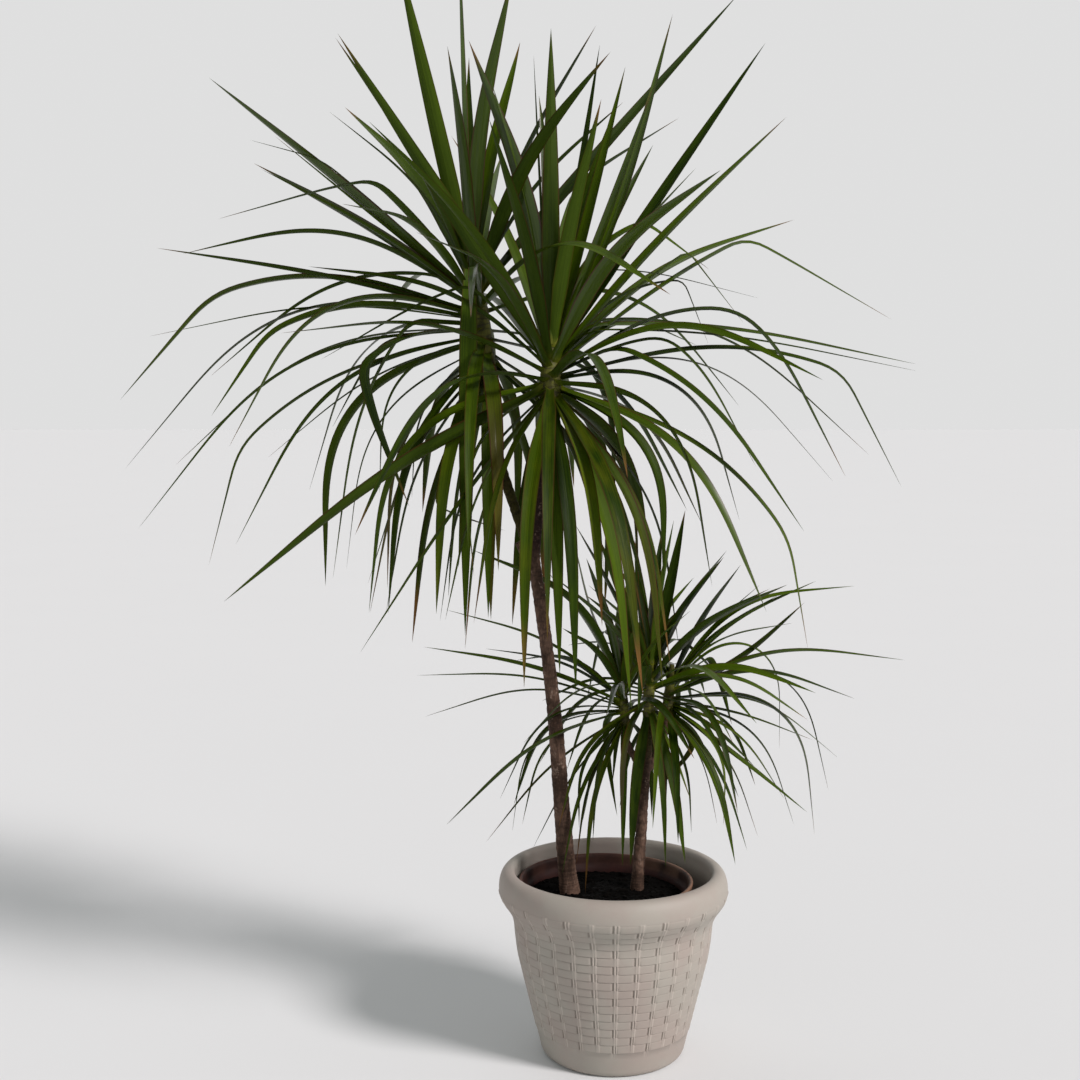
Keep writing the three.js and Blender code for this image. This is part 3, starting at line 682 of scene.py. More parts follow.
@dataclass(frozen=True)
class WaxyLeaf(Finish):
    """Dark green blades with fine parallel veins, maroon margins and a pale base."""

    dark: Colour = srgb(19, 36, 1)
    fresh: Colour = srgb(67, 88, 4)
    old: Colour = srgb(92, 86, 12)
    under: Colour = srgb(54, 70, 16)
    margin: Colour = srgb(62, 26, 14)
    base: Colour = srgb(98, 100, 26)
    dry: Colour = srgb(104, 74, 38)
    bronze: Colour = srgb(82, 62, 22)
    veins_across: float = 16.0
    veins_along: float = 2.6
    patch_across: float = 0.7
    patch_along: float = 7.0
    vein_depth: float = 0.00022

    def sockets(self, sheet: Sheet) -> dict[str, Input]:
        """Veined green that turns to maroon at the margins, pale at the root and dry at some tips.

        Args:
            sheet: The material's node tree.

        Returns:
            What the surface's shader gets on each socket.
        """
        across, along, below = sheet.read("across"), sheet.read("along"), sheet.read("below")
        variety, youth = sheet.read("variety"), sheet.read("youth")
        second, third = (variety * 7.0).fraction(), (variety * 23.0).fraction()
        vein_place = sheet.together(across * self.veins_across, along * self.veins_along, variety * 37.0)
        patch_place = sheet.together(across * self.patch_across, along * self.patch_along, variety * 91.0)
        strands = sheet.noise(vein_place, 1.0, 2.0, 0.7)
        patch = sheet.noise(patch_place, 1.0, 4.0)
        side = abs(across)
        yellowed = youth.rise(0.45, 0.1) * patch.rise(0.35, 0.6) * second.rise(0.3, 0.8)
        faded = third.rise(0.92, 0.97) * youth.rise(0.62, 0.4) * along.rise(0.15, 0.7)
        rust = side.rise(0.78, 0.96) * along.rise(0.02, 0.12) * (0.35 + 0.6 * third)
        spent = (along + youth.rise(0.35, 0.0) * 0.12).rise(0.88, 0.98)
        tip = spent * second.rise(0.45, 0.8)
        gloss = third.rise(0.45, 0.75) * youth.rise(0.1, 0.5)
        colour = sheet.coated(
            self.dark,
            (variety.rise(0.2, 1.0) * 0.75 + patch.rise(0.4, 0.7) * 0.25, self.fresh),
            (yellowed * 0.3, self.old),
            (faded * 0.65, self.bronze),
            (strands.rise(0.42, 0.62) * 0.3, self.fresh),
            (strands.rise(0.5, 0.34) * 0.4, self.dark),
            (below * 0.5, self.under),
            (along.rise(0.05, 0.0) * 0.7, self.base),
            (rust, self.margin),
            (tip, self.dry))
        rough = 0.3 + 0.16 * strands + 0.12 * below + 0.25 * tip + 0.14 * third
        return {"Base Color": colour, "Roughness": rough, "Specular IOR Level": 0.07,
                "Coat Weight": gloss * 0.55, "Coat Roughness": 0.22,
                "Normal": sheet.bump(strands + side.rise(0.14, 0.0) * 0.8, self.vein_depth)}


@dataclass(frozen=True)
class PaleFloor(Finish):
    """The plain floor that the planter stands on."""

    tone: Colour = (0.70, 0.722, 0.724)
    clouded: float = 0.985
    cloud_scale: float = 1.5

    def sockets(self, sheet: Sheet) -> dict[str, Input]:
        """An even pale tone with the faintest clouding.

        Args:
            sheet: The material's node tree.

        Returns:
            What the surface's shader gets on each socket.
        """
        cloud = sheet.noise(sheet.place(), self.cloud_scale, 2.0)
        soft = sheet.mix(cloud, self.tone, tuple(self.clouded * channel for channel in self.tone))
        return {"Base Color": soft, "Roughness": 0.85, "Specular IOR Level": 0.0}


def dress(piece: bpy.types.Object, looks: bpy.types.Material, slot: str, *nodes: str) -> None:
    """Gives a piece its finish and ties it to the solids that it stands for.

    Args:
        piece: The new piece.
        looks: Its material.
        slot: The record's material slot; not used.
        *nodes: Solids that it replaces.
    """
    piece.data.materials.append(looks)
    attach(piece, BODY)
    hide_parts(*nodes)
    logging.info("%s: %d faces", piece.name, len(piece.data.polygons))


# ---------------------------------------------------------------- pots

LEAST_SPREAD = 1e-9


class Outline:
    """A turned outline in (radius, height), drawn with lines and curves."""

    def __init__(self, start: Spot) -> None:
        """Starts at a point."""
        self.spots = [np.array(start, dtype=float)]

    def line(self, *spots: Spot) -> "Outline":
        """Straight lines to some points."""
        self.spots += [np.array(spot, dtype=float) for spot in spots]
        return self

    def curve(self, *controls: Spot, steps: int = 24) -> "Outline":
        """A smooth curve from the last point.

        Args:
            *controls: One or two control points and the end.
            steps: Straight pieces that stand for it.

        Returns:
            This outline.
        """
        pulls = [self.spots[-1]] + [np.array(control, dtype=float) for control in controls]
        for share in np.linspace(0, 1, steps + 1)[1:]:
            level = pulls
            while len(level) > 1:
                level = [a + (b - a) * share for a, b in zip(level, level[1:])]
            self.spots.append(level[0])
        return self

    def lengths(self) -> np.ndarray:
        """Distance along the outline at each of its points."""
        steps = np.linalg.norm(np.diff(np.array(self.spots), axis=0), axis=1)
        return np.concatenate([[0], np.cumsum(steps)])

    def at(self, reach: np.ndarray) -> tuple[np.ndarray, np.ndarray]:
        """Places along the outline.

        Args:
            reach: Distances along it.

        Returns:
            A (radius, height) and an outward direction for each.
        """
        spots, lengths = np.array(self.spots), self.lengths()
        place = np.stack([np.interp(reach, lengths, spots[:, k]) for k in range(2)], axis=1)
        way = np.gradient(place, axis=0)
        way /= np.maximum(np.linalg.norm(way, axis=1), LEAST_SPREAD)[:, None]
        return place, np.stack([way[:, 1], -way[:, 0]], axis=1)


TINY = 1e-6
TURNED_CREASE = 50
LUMP_CREASE = 60


def with_caps(values: np.ndarray) -> np.ndarray:
    """Values of a turned surface's rings and columns, with 0 for the points that cap it."""
    return np.append(values.ravel(), [0, 0])


def turned(radius: np.ndarray, height: np.ndarray, angles: np.ndarray) -> tuple[np.ndarray, list]:
    """A closed turned surface whose outline starts and ends on the axis.

    Args:
        radius: Radius of each ring and column, without the two points on the axis.
        height: Height of each ring and column.
        angles: Angle of each column.

    Returns:
        Corners and faces. The two ends are capped with a point each, at the height of the end rings.
    """
    rings, columns = radius.shape
    points = np.stack([radius * np.cos(angles), radius * np.sin(angles), height], axis=2).reshape(-1, 3)
    caps = np.array([[0, 0, height[0].mean()], [0, 0, height[-1].mean()]])
    faces = ring_faces(rings, columns)
    first, last = rings * columns, rings * columns + 1
    for j in range(columns):
        beside = (j + 1) % columns
        faces.append((first, beside, j))
        faces.append((last, (rings - 1) * columns + j, (rings - 1) * columns + beside))
    return np.vstack([points, caps]), faces


@dataclass
class Planter:
    """The outer planter: a moulded basket weave between a smooth foot and a rounded collar."""

    base_r: float = 77
    heel: Spot = (87, 8)
    heel_pull: float = 2.5
    bend: Spot = (113.5, 117)
    waist_pull: Spot = (117, 135)
    waist: Spot = (118.5, 155)
    flare_pull: Spot = (120, 180)
    flare_z: float = 186
    rim: Spot = (137.5, 201)
    roll_z: float = 216
    roll_r: float = 132
    crest: Spot = (124, 224)
    mouth: Spot = (118, 215)
    throat_z: float = 190
    wall: float = 4
    small_curve: int = 8
    weave_low: float = 34
    weave_high: float = 199.5
    row_shrink: float = 0.08
    stakes: int = 30
    rows: int = 17
    strip_rise: float = 0.4
    strip_lean: float = 0.3
    strip_dip: float = 0.25
    bridge_from: float = 0.84
    bridge_to: float = 0.93
    bridge_flat: float = 0.75
    bridge_round: float = 0.2
    reed_rise: float = 0.8
    reed_sink: float = 0.05
    reed_place: float = 0.06
    reed_half: float = 0.046
    slot_from: float = 0.17
    slot_to: float = 0.2
    line_from: float = 0.885
    line_to: float = 0.93
    groove: float = 0.4
    # Painted shade in the slots and in the lines under the rows.
    shade_slot: float = 0.62
    shade_line: float = 0.2
    # Share of the canes' painted highlight on the left-hand cane.
    left_cane_highlight: float = 0.3
    top_line: float = 0.4
    column_shares: tuple[float, ...] = (0, 0.014, 0.032, 0.06, 0.088, 0.104, 0.114, 0.168, 0.2, 0.3, 0.5)
    row_shares: tuple[float, ...] = (0, 0.06, 0.25, 0.5, 0.75, 0.88, 0.935, 0.975)
    edge: float = 0.8
    edge_room: float = 1
    foot_ring: float = 9
    front: float = -math.pi / 2 - 0.018

    def outline(self) -> Outline:
        """The wall's outline.

        Returns:
            The outline, up the outside, over the collar and down the inside.
        """
        wall, few, heel_r, heel_z = self.wall, self.small_curve, *self.heel
        drawn = Outline((AXIS_R, 0)).line((self.base_r, 0))
        drawn.curve((heel_r - self.heel_pull, 0), self.heel, steps=few)
        drawn.line(self.bend).curve(self.waist_pull, self.waist)
        drawn.curve(self.flare_pull, (self.rim[0], self.flare_z), self.rim)
        drawn.curve((self.rim[0], self.roll_z), (self.roll_r, self.crest[1]), self.crest)
        drawn.curve((self.mouth[0], self.crest[1]), self.mouth, steps=few)
        drawn.line((self.mouth[0], self.throat_z), (self.waist[0] - wall, self.waist[1]))
        drawn.line((self.bend[0] - wall, self.bend[1]), (heel_r - wall, heel_z + wall))
        return drawn.line((heel_r - 2 * wall, wall), (AXIS_R, wall))

    def weave(self, stake_turn: np.ndarray, row: np.ndarray) -> tuple[np.ndarray, np.ndarray, np.ndarray]:
        """Relief of the woven strips and stakes.

        A stake is a pair of canes. Each strip starts beside one, passes over the next and ends in a
        slot before the one after. It stands proud at its lower edge and sinks towards its upper one.

        Args:
            stake_turn: Place round the planter, counted in stakes.
            row: Place up the weave, counted in rows.

        Returns:
            Height of the relief, its painted shade and its painted highlight at each place.
        """
        whole = np.clip(np.floor(row), 0, self.rows - 1)
        up = row - whole
        side = np.mod(stake_turn + whole + 1, 2) - 1
        away = np.abs(side)
        bridge = smooth(away, self.bridge_from, self.bridge_to)
        slot = (side < 0) * (1 - smooth(away, self.slot_from, self.slot_to))
        line = smooth(up, self.line_from, self.line_to) * (1 - bridge)
        line = line * np.where(whole == self.rows - 1, self.top_line, 1)
        start = (side > 0) * (1 - smooth(away, self.reed_place + self.reed_half, self.slot_to))
        lean = self.strip_rise + self.strip_lean * (1 - 2 * up)
        beside = (np.minimum(away, 1 - away) - self.reed_place) / self.reed_half
        cane = np.sqrt(np.clip(1 - beside ** 2, 0, 1))
        over = self.reed_rise * (self.bridge_flat + self.bridge_round * cane)
        strip = lean + (over - lean) * bridge - self.strip_dip * start
        sunk = np.maximum(slot, line)
        strip = strip - (strip + self.groove) * sunk
        bare = away < self.reed_place + self.reed_half
        height = np.where(bare, self.reed_rise * cane - self.reed_sink, strip)
        # Painted shade in the slots and under each row.
        depth = np.maximum(self.shade_slot * slot, self.shade_line * line) * ~bare
        # Painted highlight along the canes, weaker on the left-hand cane.
        crest = cane * np.maximum(bare, bridge) * np.where(side < 0, 1, self.left_cane_highlight)
        return height, np.clip(depth, 0, 1), crest

    def eased(self, share: np.ndarray) -> np.ndarray:
        """Shares up the weave, with rows that are a little taller at the foot."""
        return share * (1 + self.row_shrink * (1 - share))

    def build(self, looks: bpy.types.Material) -> None:
        """Makes the planter.

        Args:
            looks: Its material.
        """
        outline = self.outline()
        lengths, spots = outline.lengths(), np.array(outline.spots)
        rising = slice(2, int(np.argmax(spots[:, 0])))
        low, high = np.interp([self.weave_low, self.weave_high], spots[rising, 1], lengths[rising])
        rows = (np.arange(self.rows)[:, None] + np.array(self.row_shares)).ravel()
        rows = np.append(rows, self.rows)
        woven = low + (high - low) * self.eased(rows / self.rows)
        above, below = lengths[lengths > high + self.edge_room], lengths[lengths < low - self.edge_room]
        edges = [low - self.foot_ring, low - self.edge, high + self.edge]
        reach = np.unique(np.concatenate([below, edges, woven, above]))
        place, out = outline.at(reach)
        shares = np.array(self.column_shares)
        around = np.concatenate([-shares[:0:-1], shares[:-1]])
        turns = (np.arange(self.stakes)[:, None] + around).ravel()
        angles = self.front + turns / self.stakes * 2 * math.pi
        row = np.interp(reach, woven, rows, left=-1, right=self.rows + 1)
        relief, depth, crest = self.weave(turns[None, :], np.clip(row, 0, self.rows)[:, None])
        inside = ((row >= -TINY) & (row <= self.rows + TINY))[:, None]
        radius, height = (place[:, k:k + 1] + relief * inside * out[:, k:k + 1] for k in range(2))
        points, faces = turned(radius, height, angles)
        # groove carries the painted shade, crest the painted highlight.
        values = {"groove": with_caps(depth * inside), "crest": with_caps(crest * inside)}
        piece = Surface(points, faces, values).piece("woven_planter", TURNED_CREASE)
        dress(piece, looks, "planter_plastic", "planter")


@dataclass
class NurseryPot:
    """The plain plastic pot inside the planter, with its rolled lip."""

    centre_x: float = -9
    foot: float = 4.3
    base_r: float = 68
    neck_r: float = 98
    neck_z: float = 192
    rim_r: float = 105
    rim_z: float = 210
    wall: float = 2
    # Points of the lip, as offsets from its outer edge and its top.
    lip_under: tuple[Spot, ...] = ((-6.5, -13), (-2, -12))
    lip_side: Spot = (-1.2, -5)
    lip_top: tuple[Spot, ...] = ((0, -3), (0, 0), (-1.6, 0))
    lip_roll: tuple[Spot, ...] = ((-4.6, 0), (-5.4, -2), (-5.6, -5))
    lip_back: Spot = (-6.2, -11)
    lip_foot: tuple[Spot, ...] = ((-7, -14), (-9, -17))
    lip_steps: int = 8
    bend_steps: int = 6
    lip_from: float = 194
    lip_to: float = 200
    highlight_least: float = 0.2
    highlight_from: float = 0.1
    highlight_to: float = 0.85
    inward: float = -0.3
    wobble: float = 0.35
    wobble_waves: int = 3
    wobble_turn: float = 1
    wobble_from: float = 150
    wobble_to: float = 205
    ring_step: float = 6
    columns: int = 128

    def by_lip(self, *offsets: Spot) -> list[Spot]:
        """Points from their offsets to the lip's outer edge and top."""
        return [(self.rim_r + out, self.rim_z + up) for out, up in offsets]

    def outline(self) -> Outline:
        """The pot's outline.

        Returns:
            The outline, up the outside, over the lip and down the inside.
        """
        floor_r, floor_z = self.base_r - self.wall, self.foot + self.wall
        drawn = Outline((AXIS_R, self.foot)).line((floor_r, self.foot), (self.base_r, floor_z))
        drawn.line((self.neck_r, self.neck_z)).curve(*self.by_lip(*self.lip_under), steps=self.bend_steps)
        drawn.line(*self.by_lip(self.lip_side)).curve(*self.by_lip(*self.lip_top), steps=self.lip_steps)
        drawn.curve(*self.by_lip(*self.lip_roll), steps=self.lip_steps).line(*self.by_lip(self.lip_back))
        drawn.curve(*self.by_lip(*self.lip_foot), steps=self.bend_steps)
        return drawn.line((floor_r, floor_z), (AXIS_R, floor_z))

    def build(self, looks: bpy.types.Material) -> None:
        """Makes the pot.

        Args:
            looks: Its material.
        """
        outline = self.outline()
        lengths = outline.lengths()
        reach = np.unique(np.concatenate([lengths, np.arange(0, lengths[-1], self.ring_step)]))
        place, out = outline.at(reach)
        angles = np.arange(self.columns) / self.columns * 2 * math.pi
        wave = self.wobble * np.sin(self.wobble_waves * angles + self.wobble_turn)
        wobble = wave * smooth(place[:, 1], self.wobble_from, self.wobble_to)[:, None]
        points, faces = turned(place[:, :1] + wobble, place[:, 1:] + 0 * wobble, angles)
        points[:, 0] += self.centre_x
        lip = smooth(place[:, 1:], self.lip_from, self.lip_to)
        # Painted highlight: the lip is palest on the pot's lit right side and least on its left.
        painted_highlight = smooth(np.cos(angles), self.highlight_from, self.highlight_to)
        painted_highlight = self.highlight_least + (1 - self.highlight_least) * painted_highlight
        inside = (out[:, :1] < self.inward) + 0 * wobble
        values = {"lip": with_caps(lip * painted_highlight), "inside": with_caps(inside)}
        piece = Surface(points, faces, values).piece("nursery_pot_shell", TURNED_CREASE)
        dress(piece, looks, "nursery_plastic", "nursery_pot")


@dataclass
class Soil:
    """The root ball, with lumps and crumbs on its top."""

    centre_x: float = -9
    line_z: float = 190
    crown: float = 4
    foot: float = 6.6
    foot_r: float = 65.4
    top_r: float = 93.9
    side_rings: tuple[float, ...] = (60, 120, 170)
    rings: int = 52
    inner_ring: float = 0.012
    columns: int = 200
    lump: float = 1.9
    settled: float = 1.2
    lump_sizes: tuple[float, ...] = (11, 3.2, 1.7)
    lump_salts: tuple[float, ...] = (1.3, 4.1, 8.3)
    coarse_share: float = 0.8
    fine_share: float = 0.7
    finest_share: float = 0.6
    crumbs: int = 420
    crumb_least: float = 1
    crumb_more: float = 2.4
    crumb_edge: float = 4
    crumb_low: float = 0.5
    crumb_rough: float = 0.4
    crumb_sunk: float = 0.2
    crumb_pale: float = 0.3
    corner_salt: float = 2.2
    share_face: float = 0.4

    def top(self, x: np.ndarray, y: np.ndarray) -> np.ndarray:
        """Height of the soil.

        Args:
            x: Place from the pot's middle.
            y: Place from the pot's middle.

        Returns:
            The height at each place.
        """
        share = np.clip(np.hypot(x, y) / self.top_r, 0, 1)
        swell = self.crown * np.cos(share * math.pi / 2)
        coarse, fine, finest = (rolling(x / size, y / size, 0 * x, salt)
                                for size, salt in zip(self.lump_sizes, self.lump_salts))
        lumps = self.coarse_share * coarse + self.fine_share * (fine + self.finest_share * finest)
        return self.line_z + swell + self.lump * lumps - self.settled

    def crumb(self, number: int) -> Surface:
        """One crumb of bark or peat that lies on the soil.

        Args:
            number: Which one.

        Returns:
            A small closed lump.
        """
        draw = [float(hashed(np.array(float(number)), salt)) for salt in range(1, 8)]
        size = self.crumb_least + self.crumb_more * draw[0] ** 3
        radius, angle = (self.top_r - self.crumb_edge) * math.sqrt(draw[1]), 2 * math.pi * draw[2]
        x, y = radius * math.cos(angle), radius * math.sin(angle)
        stretch = np.array([1 + draw[3], 1, self.crumb_low + self.crumb_rough * draw[4]]) * size
        corners = self.lump_corners()
        count = len(corners)
        rough = hashed(np.arange(float(count)) + (count + 1) * number, self.corner_salt)
        corners *= 1 - self.crumb_rough / 2 + self.crumb_rough * rough[:, None]
        cosine, sine = math.cos(2 * math.pi * draw[5]), math.sin(2 * math.pi * draw[5])
        spin = np.array([[cosine, -sine, 0], [sine, cosine, 0], [0, 0, 1]])
        points = (corners * stretch) @ spin.T
        height = float(self.top(np.array(x), np.array(y)))
        points += np.array([x + self.centre_x, y, height + self.crumb_sunk * stretch[2]])
        faces = [self.outward(points, face) for face in combinations(range(count), 3)
                 if self.neighbours(corners, face)]
        pale = self.crumb_pale + (1 - self.crumb_pale) * draw[6]
        return Surface(points, faces, {"crumb": np.full(len(points), pale)})

    @staticmethod
    def lump_corners() -> np.ndarray:
        """An even twenty-sided lump.

        Returns:
            Its twelve corners, each 1 from the middle.
        """
        tall = (1 + math.sqrt(5)) / 2
        ends = [(a, b * tall) for a in (-1, 1) for b in (-1, 1)]
        corners = [(a, b, 0) for a, b in ends] + [(0, a, b) for a, b in ends]
        corners += [(b, 0, a) for a, b in ends]
        return np.array(corners, dtype=float) / math.hypot(1, tall)

    def neighbours(self, corners: np.ndarray, face: tuple[int, int, int]) -> bool:
        """Whether three corners of a twenty-sided lump share a face."""
        a, b, c = (corners[i] / np.linalg.norm(corners[i]) for i in face)
        return min(a @ b, b @ c, c @ a) > self.share_face

    @staticmethod
    def outward(points: np.ndarray, face: tuple[int, int, int]) -> tuple[int, int, int]:
        """The face with its corners in the order that faces outward."""
        a, b, c = (points[i] for i in face)
        return face if np.cross(b - a, c - a) @ (a - points.mean(axis=0)) > 0 else face[::-1]

    def build(self, looks: bpy.types.Material) -> None:
        """Makes the soil.

        Args:
            looks: Its material.
        """
        angles = np.arange(self.columns) / self.columns * 2 * math.pi
        shares = np.linspace(1, self.inner_ring, self.rings)
        radius = (self.top_r * shares)[:, None] + 0 * angles
        edge_z = self.top(radius * np.cos(angles), radius * np.sin(angles))
        edge_z[0] = np.minimum(edge_z[0], self.line_z)
        side_z = np.array([self.foot, self.foot, *self.side_rings])
        side_share = (side_z - self.foot) / (self.line_z - self.foot)
        side_r = self.foot_r + (self.top_r - self.foot_r) * side_share
        side_r[0] = AXIS_R
        radius = np.vstack([side_r[:, None] + 0 * angles, radius])
        height = np.vstack([side_z[:, None] + 0 * angles, edge_z])
        points, faces = turned(radius, height, angles)
        points[:, 0] += self.centre_x
        ball = Surface(points, faces, {"crumb": np.zeros(len(points))})
        crumbs = [self.crumb(number) for number in range(self.crumbs)]
        dress(Surface.joined([ball, *crumbs]).piece("potting_mix", LUMP_CREASE), looks, "soil", "soil")


# ---------------------------------------------------------------- stems

class Tint(Enum):
    """The skin of a stretch of stem."""

    GREY = 0
    OLIVE = 1
    MAROON = 2


@dataclass
class Stem:
    """A woody stem with its branches, grown as one piece."""

    name: str
    node: str
    paths: Sequence[tuple[Sequence[Point], Tint]]
    voxel: float
    scar_pitch: float
    scar_depth: float = 0.5
    scar_width: float = 0.75
    ring: float = 2
    sides: int = 40
    softness: float = 0.5
    softened: int = 6
    branch_shift: float = 31
    knob_size: tuple[float, ...] = (5, 5, 9)
    knob_salt: float = 2.6
    knob: float = 0.35
    rib: float = 0.16
    rib_tilt: float = 0.8
    tint_from: float = 6
    tint_to: float = 34

    def grown(self) -> bpy.types.Object:
        """Branches joined into one skin, with their creases rounded off.

        Returns:
            The smooth stem, still without its scars.
        """
        tubes = [StemPath(knots).tube(self.ring, self.sides) for knots, _ in self.paths]
        rough = Surface.joined(tubes).piece(self.name + "_rough")
        remesh = rough.modifiers.new("join", "REMESH")
        remesh.mode = "VOXEL"
        remesh.voxel_size = self.voxel * MM
        soften = rough.modifiers.new("soften", "SMOOTH")
        soften.factor = self.softness
        soften.iterations = self.softened
        view = bpy.context.evaluated_depsgraph_get()
        mesh = bpy.data.meshes.new_from_object(rough.evaluated_get(view))
        grown = bpy.data.objects.new(self.name, mesh)
        bpy.context.scene.collection.objects.link(grown)
        bpy.data.objects.remove(rough)
        return grown

    def build(self, looks: bpy.types.Material) -> None:
        """Makes the stem.

        Args:
            looks: Its material.
        """
        piece = self.grown()
        mesh = piece.data
        count = len(mesh.vertices)
        points, normals = np.empty(count * 3), np.empty(count * 3)
        mesh.vertices.foreach_get("co", points)
        mesh.vertices.foreach_get("normal", normals)
        points, normals = points.reshape(-1, 3) / MM, normals.reshape(-1, 3)
        spots, reach, branch = self.centreline()
        tree = kdtree.KDTree(len(spots))
        for index, spot in enumerate(spots):
            tree.insert(Vector(spot), index)
        tree.balance()
        nearest = np.array([tree.find(Vector(point))[1] for point in points])
        way = points - spots[nearest]
        turn = np.arctan2(way[:, 1], way[:, 0])
        along = reach[nearest] + self.branch_shift * branch[nearest]
        narrowed = self.scar_width + (1 - self.scar_width) * self.voxel
        scar = leaf_scars(along, turn, self.scar_pitch, narrowed)
        knob = rolling(*(points / self.knob_size).T, self.knob_salt)
        ribs = np.sin(along / self.scar_pitch * math.pi + np.sin(turn) * self.rib_tilt)
        push = self.knob * knob + self.rib * ribs - self.scar_depth * scar
        points += normals * push[:, None]
        mesh.vertices.foreach_set("co", (points * MM).ravel())
        young = smooth(reach[nearest], self.tint_from, self.tint_to)
        tint = np.array([tint.value for _, tint in self.paths])[branch[nearest]]
        label_corners(mesh, {"scar": scar, "olive": young * (tint == Tint.OLIVE.value),
                             "maroon": young * (tint == Tint.MAROON.value)})
        dress(piece, looks, "bark", self.node)

    def centreline(self) -> tuple[np.ndarray, np.ndarray, np.ndarray]:
        """Closely spaced places along every branch.

        Returns:
            Places, their distance along their branch, and the number of that branch.
        """
        spots, reach, branch = [], [], []
        for number, (knots, _) in enumerate(self.paths):
            path = StemPath(knots)
            length = path.length()
            shares = np.linspace(0, 1, max(int(length), FEWEST_RINGS))
            spots.append(path.at(shares)[0])
            reach.append(shares * length)
            branch.append(np.full(len(shares), number))
        return np.concatenate(spots), np.concatenate(reach), np.concatenate(branch)


# ---------------------------------------------------------------- leaves

class Draws:
    """Repeatable random numbers from 0 to 1, each worked out from the one before."""

    FACTOR = 1664525
    STEP = 1013904223
    RANGE = 2 ** 32
    PASSED_OVER = 4

    def __init__(self, seed: int) -> None:
        """Passes over the first few numbers.

        Args:
            seed: Where the numbers start.
        """
        self.state = seed
        for _ in range(self.PASSED_OVER):
            self.next()

    def next(self) -> float:
        """The next number."""
        self.state = (self.state * self.FACTOR + self.STEP) % self.RANGE
        return self.state / self.RANGE


WIDEST_AT = 0.25
ROOT_WIDTH = 0.45
ROOT_FLARE = 2.2
TAPER = (1.75, 1.1)
FINE_TAPER = (2.1, 1)  # the fine blades keep a little more width towards the tip than the solids


def width_share(t: np.ndarray, taper: tuple[float, float] = TAPER) -> np.ndarray:
    """Share of a blade's full width at each t, from 0 at the root to 1 at the tip."""
    late = np.clip((t - WIDEST_AT) / (1 - WIDEST_AT), 0, 1)
    return np.where(t < WIDEST_AT, ROOT_WIDTH + ROOT_FLARE * t, (1 - late ** taper[0]) ** taper[1])


# A leaf bends between two shares of its length. A small fold is softer than one of FOLD_SHARP degrees.
BEND_FROM = 0.1
BEND_TO = 0.8
FOLD_HALF = 0.03
FOLD_SOFT = 0.08
FOLD_SHARP = 90
# Rings of the solids, counted in steps from the root, and the bend from which a leaf has more of them.
PATH_STEPS = 24
CURVED_RINGS = (0, 6, 11, 16, 21, 24)
STRAIGHT_RINGS = (0, 9, 18, 24)
STRAIGHT_DROOP = 24


@dataclass(frozen=True)
class Stretches:
    """Straight stretches of leaf or stem, each with its side direction and its reach to that side."""

    start: np.ndarray
    end: np.ndarray
    side: np.ndarray
    half: np.ndarray
    flat: bool

    def after(self, count: int) -> "Stretches":
        """The stretches without the first few."""
        kept = (part[count:] for part in (self.start, self.end, self.side, self.half))
        return Stretches(*kept, self.flat)

    def clear_of(self, other: "Stretches", room: float) -> bool:
        """Whether all these stretches keep some room to all others.

        Args:
            other: The other stretches.
            room: Least room between surfaces.

        Returns:
            True if they do.
        """
        if not len(self.start) or not len(other.start):
            return True
        u, v = (self.end - self.start)[:, None], (other.end - other.start)[None]
        w = self.start[:, None] - other.start[None]
        uu, vv, uv = (u * u).sum(2), (v * v).sum(2), (u * v).sum(2)
        uw, vw = (u * w).sum(2), (v * w).sum(2)
        spread = uu * vv - uv * uv
        apart = spread > LEAST_SPREAD
        along = np.where(apart, np.clip((uv * vw - vv * uw) / np.where(apart, spread, 1), 0, 1), 0)
        across = np.clip((uv * along + vw) / vv, 0, 1)
        along = np.clip((uv * across - uw) / uu, 0, 1)
        way = w + u * along[..., None] - v * across[..., None]
        distance = np.linalg.norm(way, axis=2)
        near = np.maximum(distance, LEAST_SPREAD)
        mine = self.half[:, None] * (np.abs((self.side[:, None] * way).sum(2)) / near if self.flat else 1)
        theirs = other.half[None] * (np.abs((other.side[None] * way).sum(2)) / near if other.flat else 1)
        return bool(np.all((distance >= room) & (distance > mine + theirs + room)))


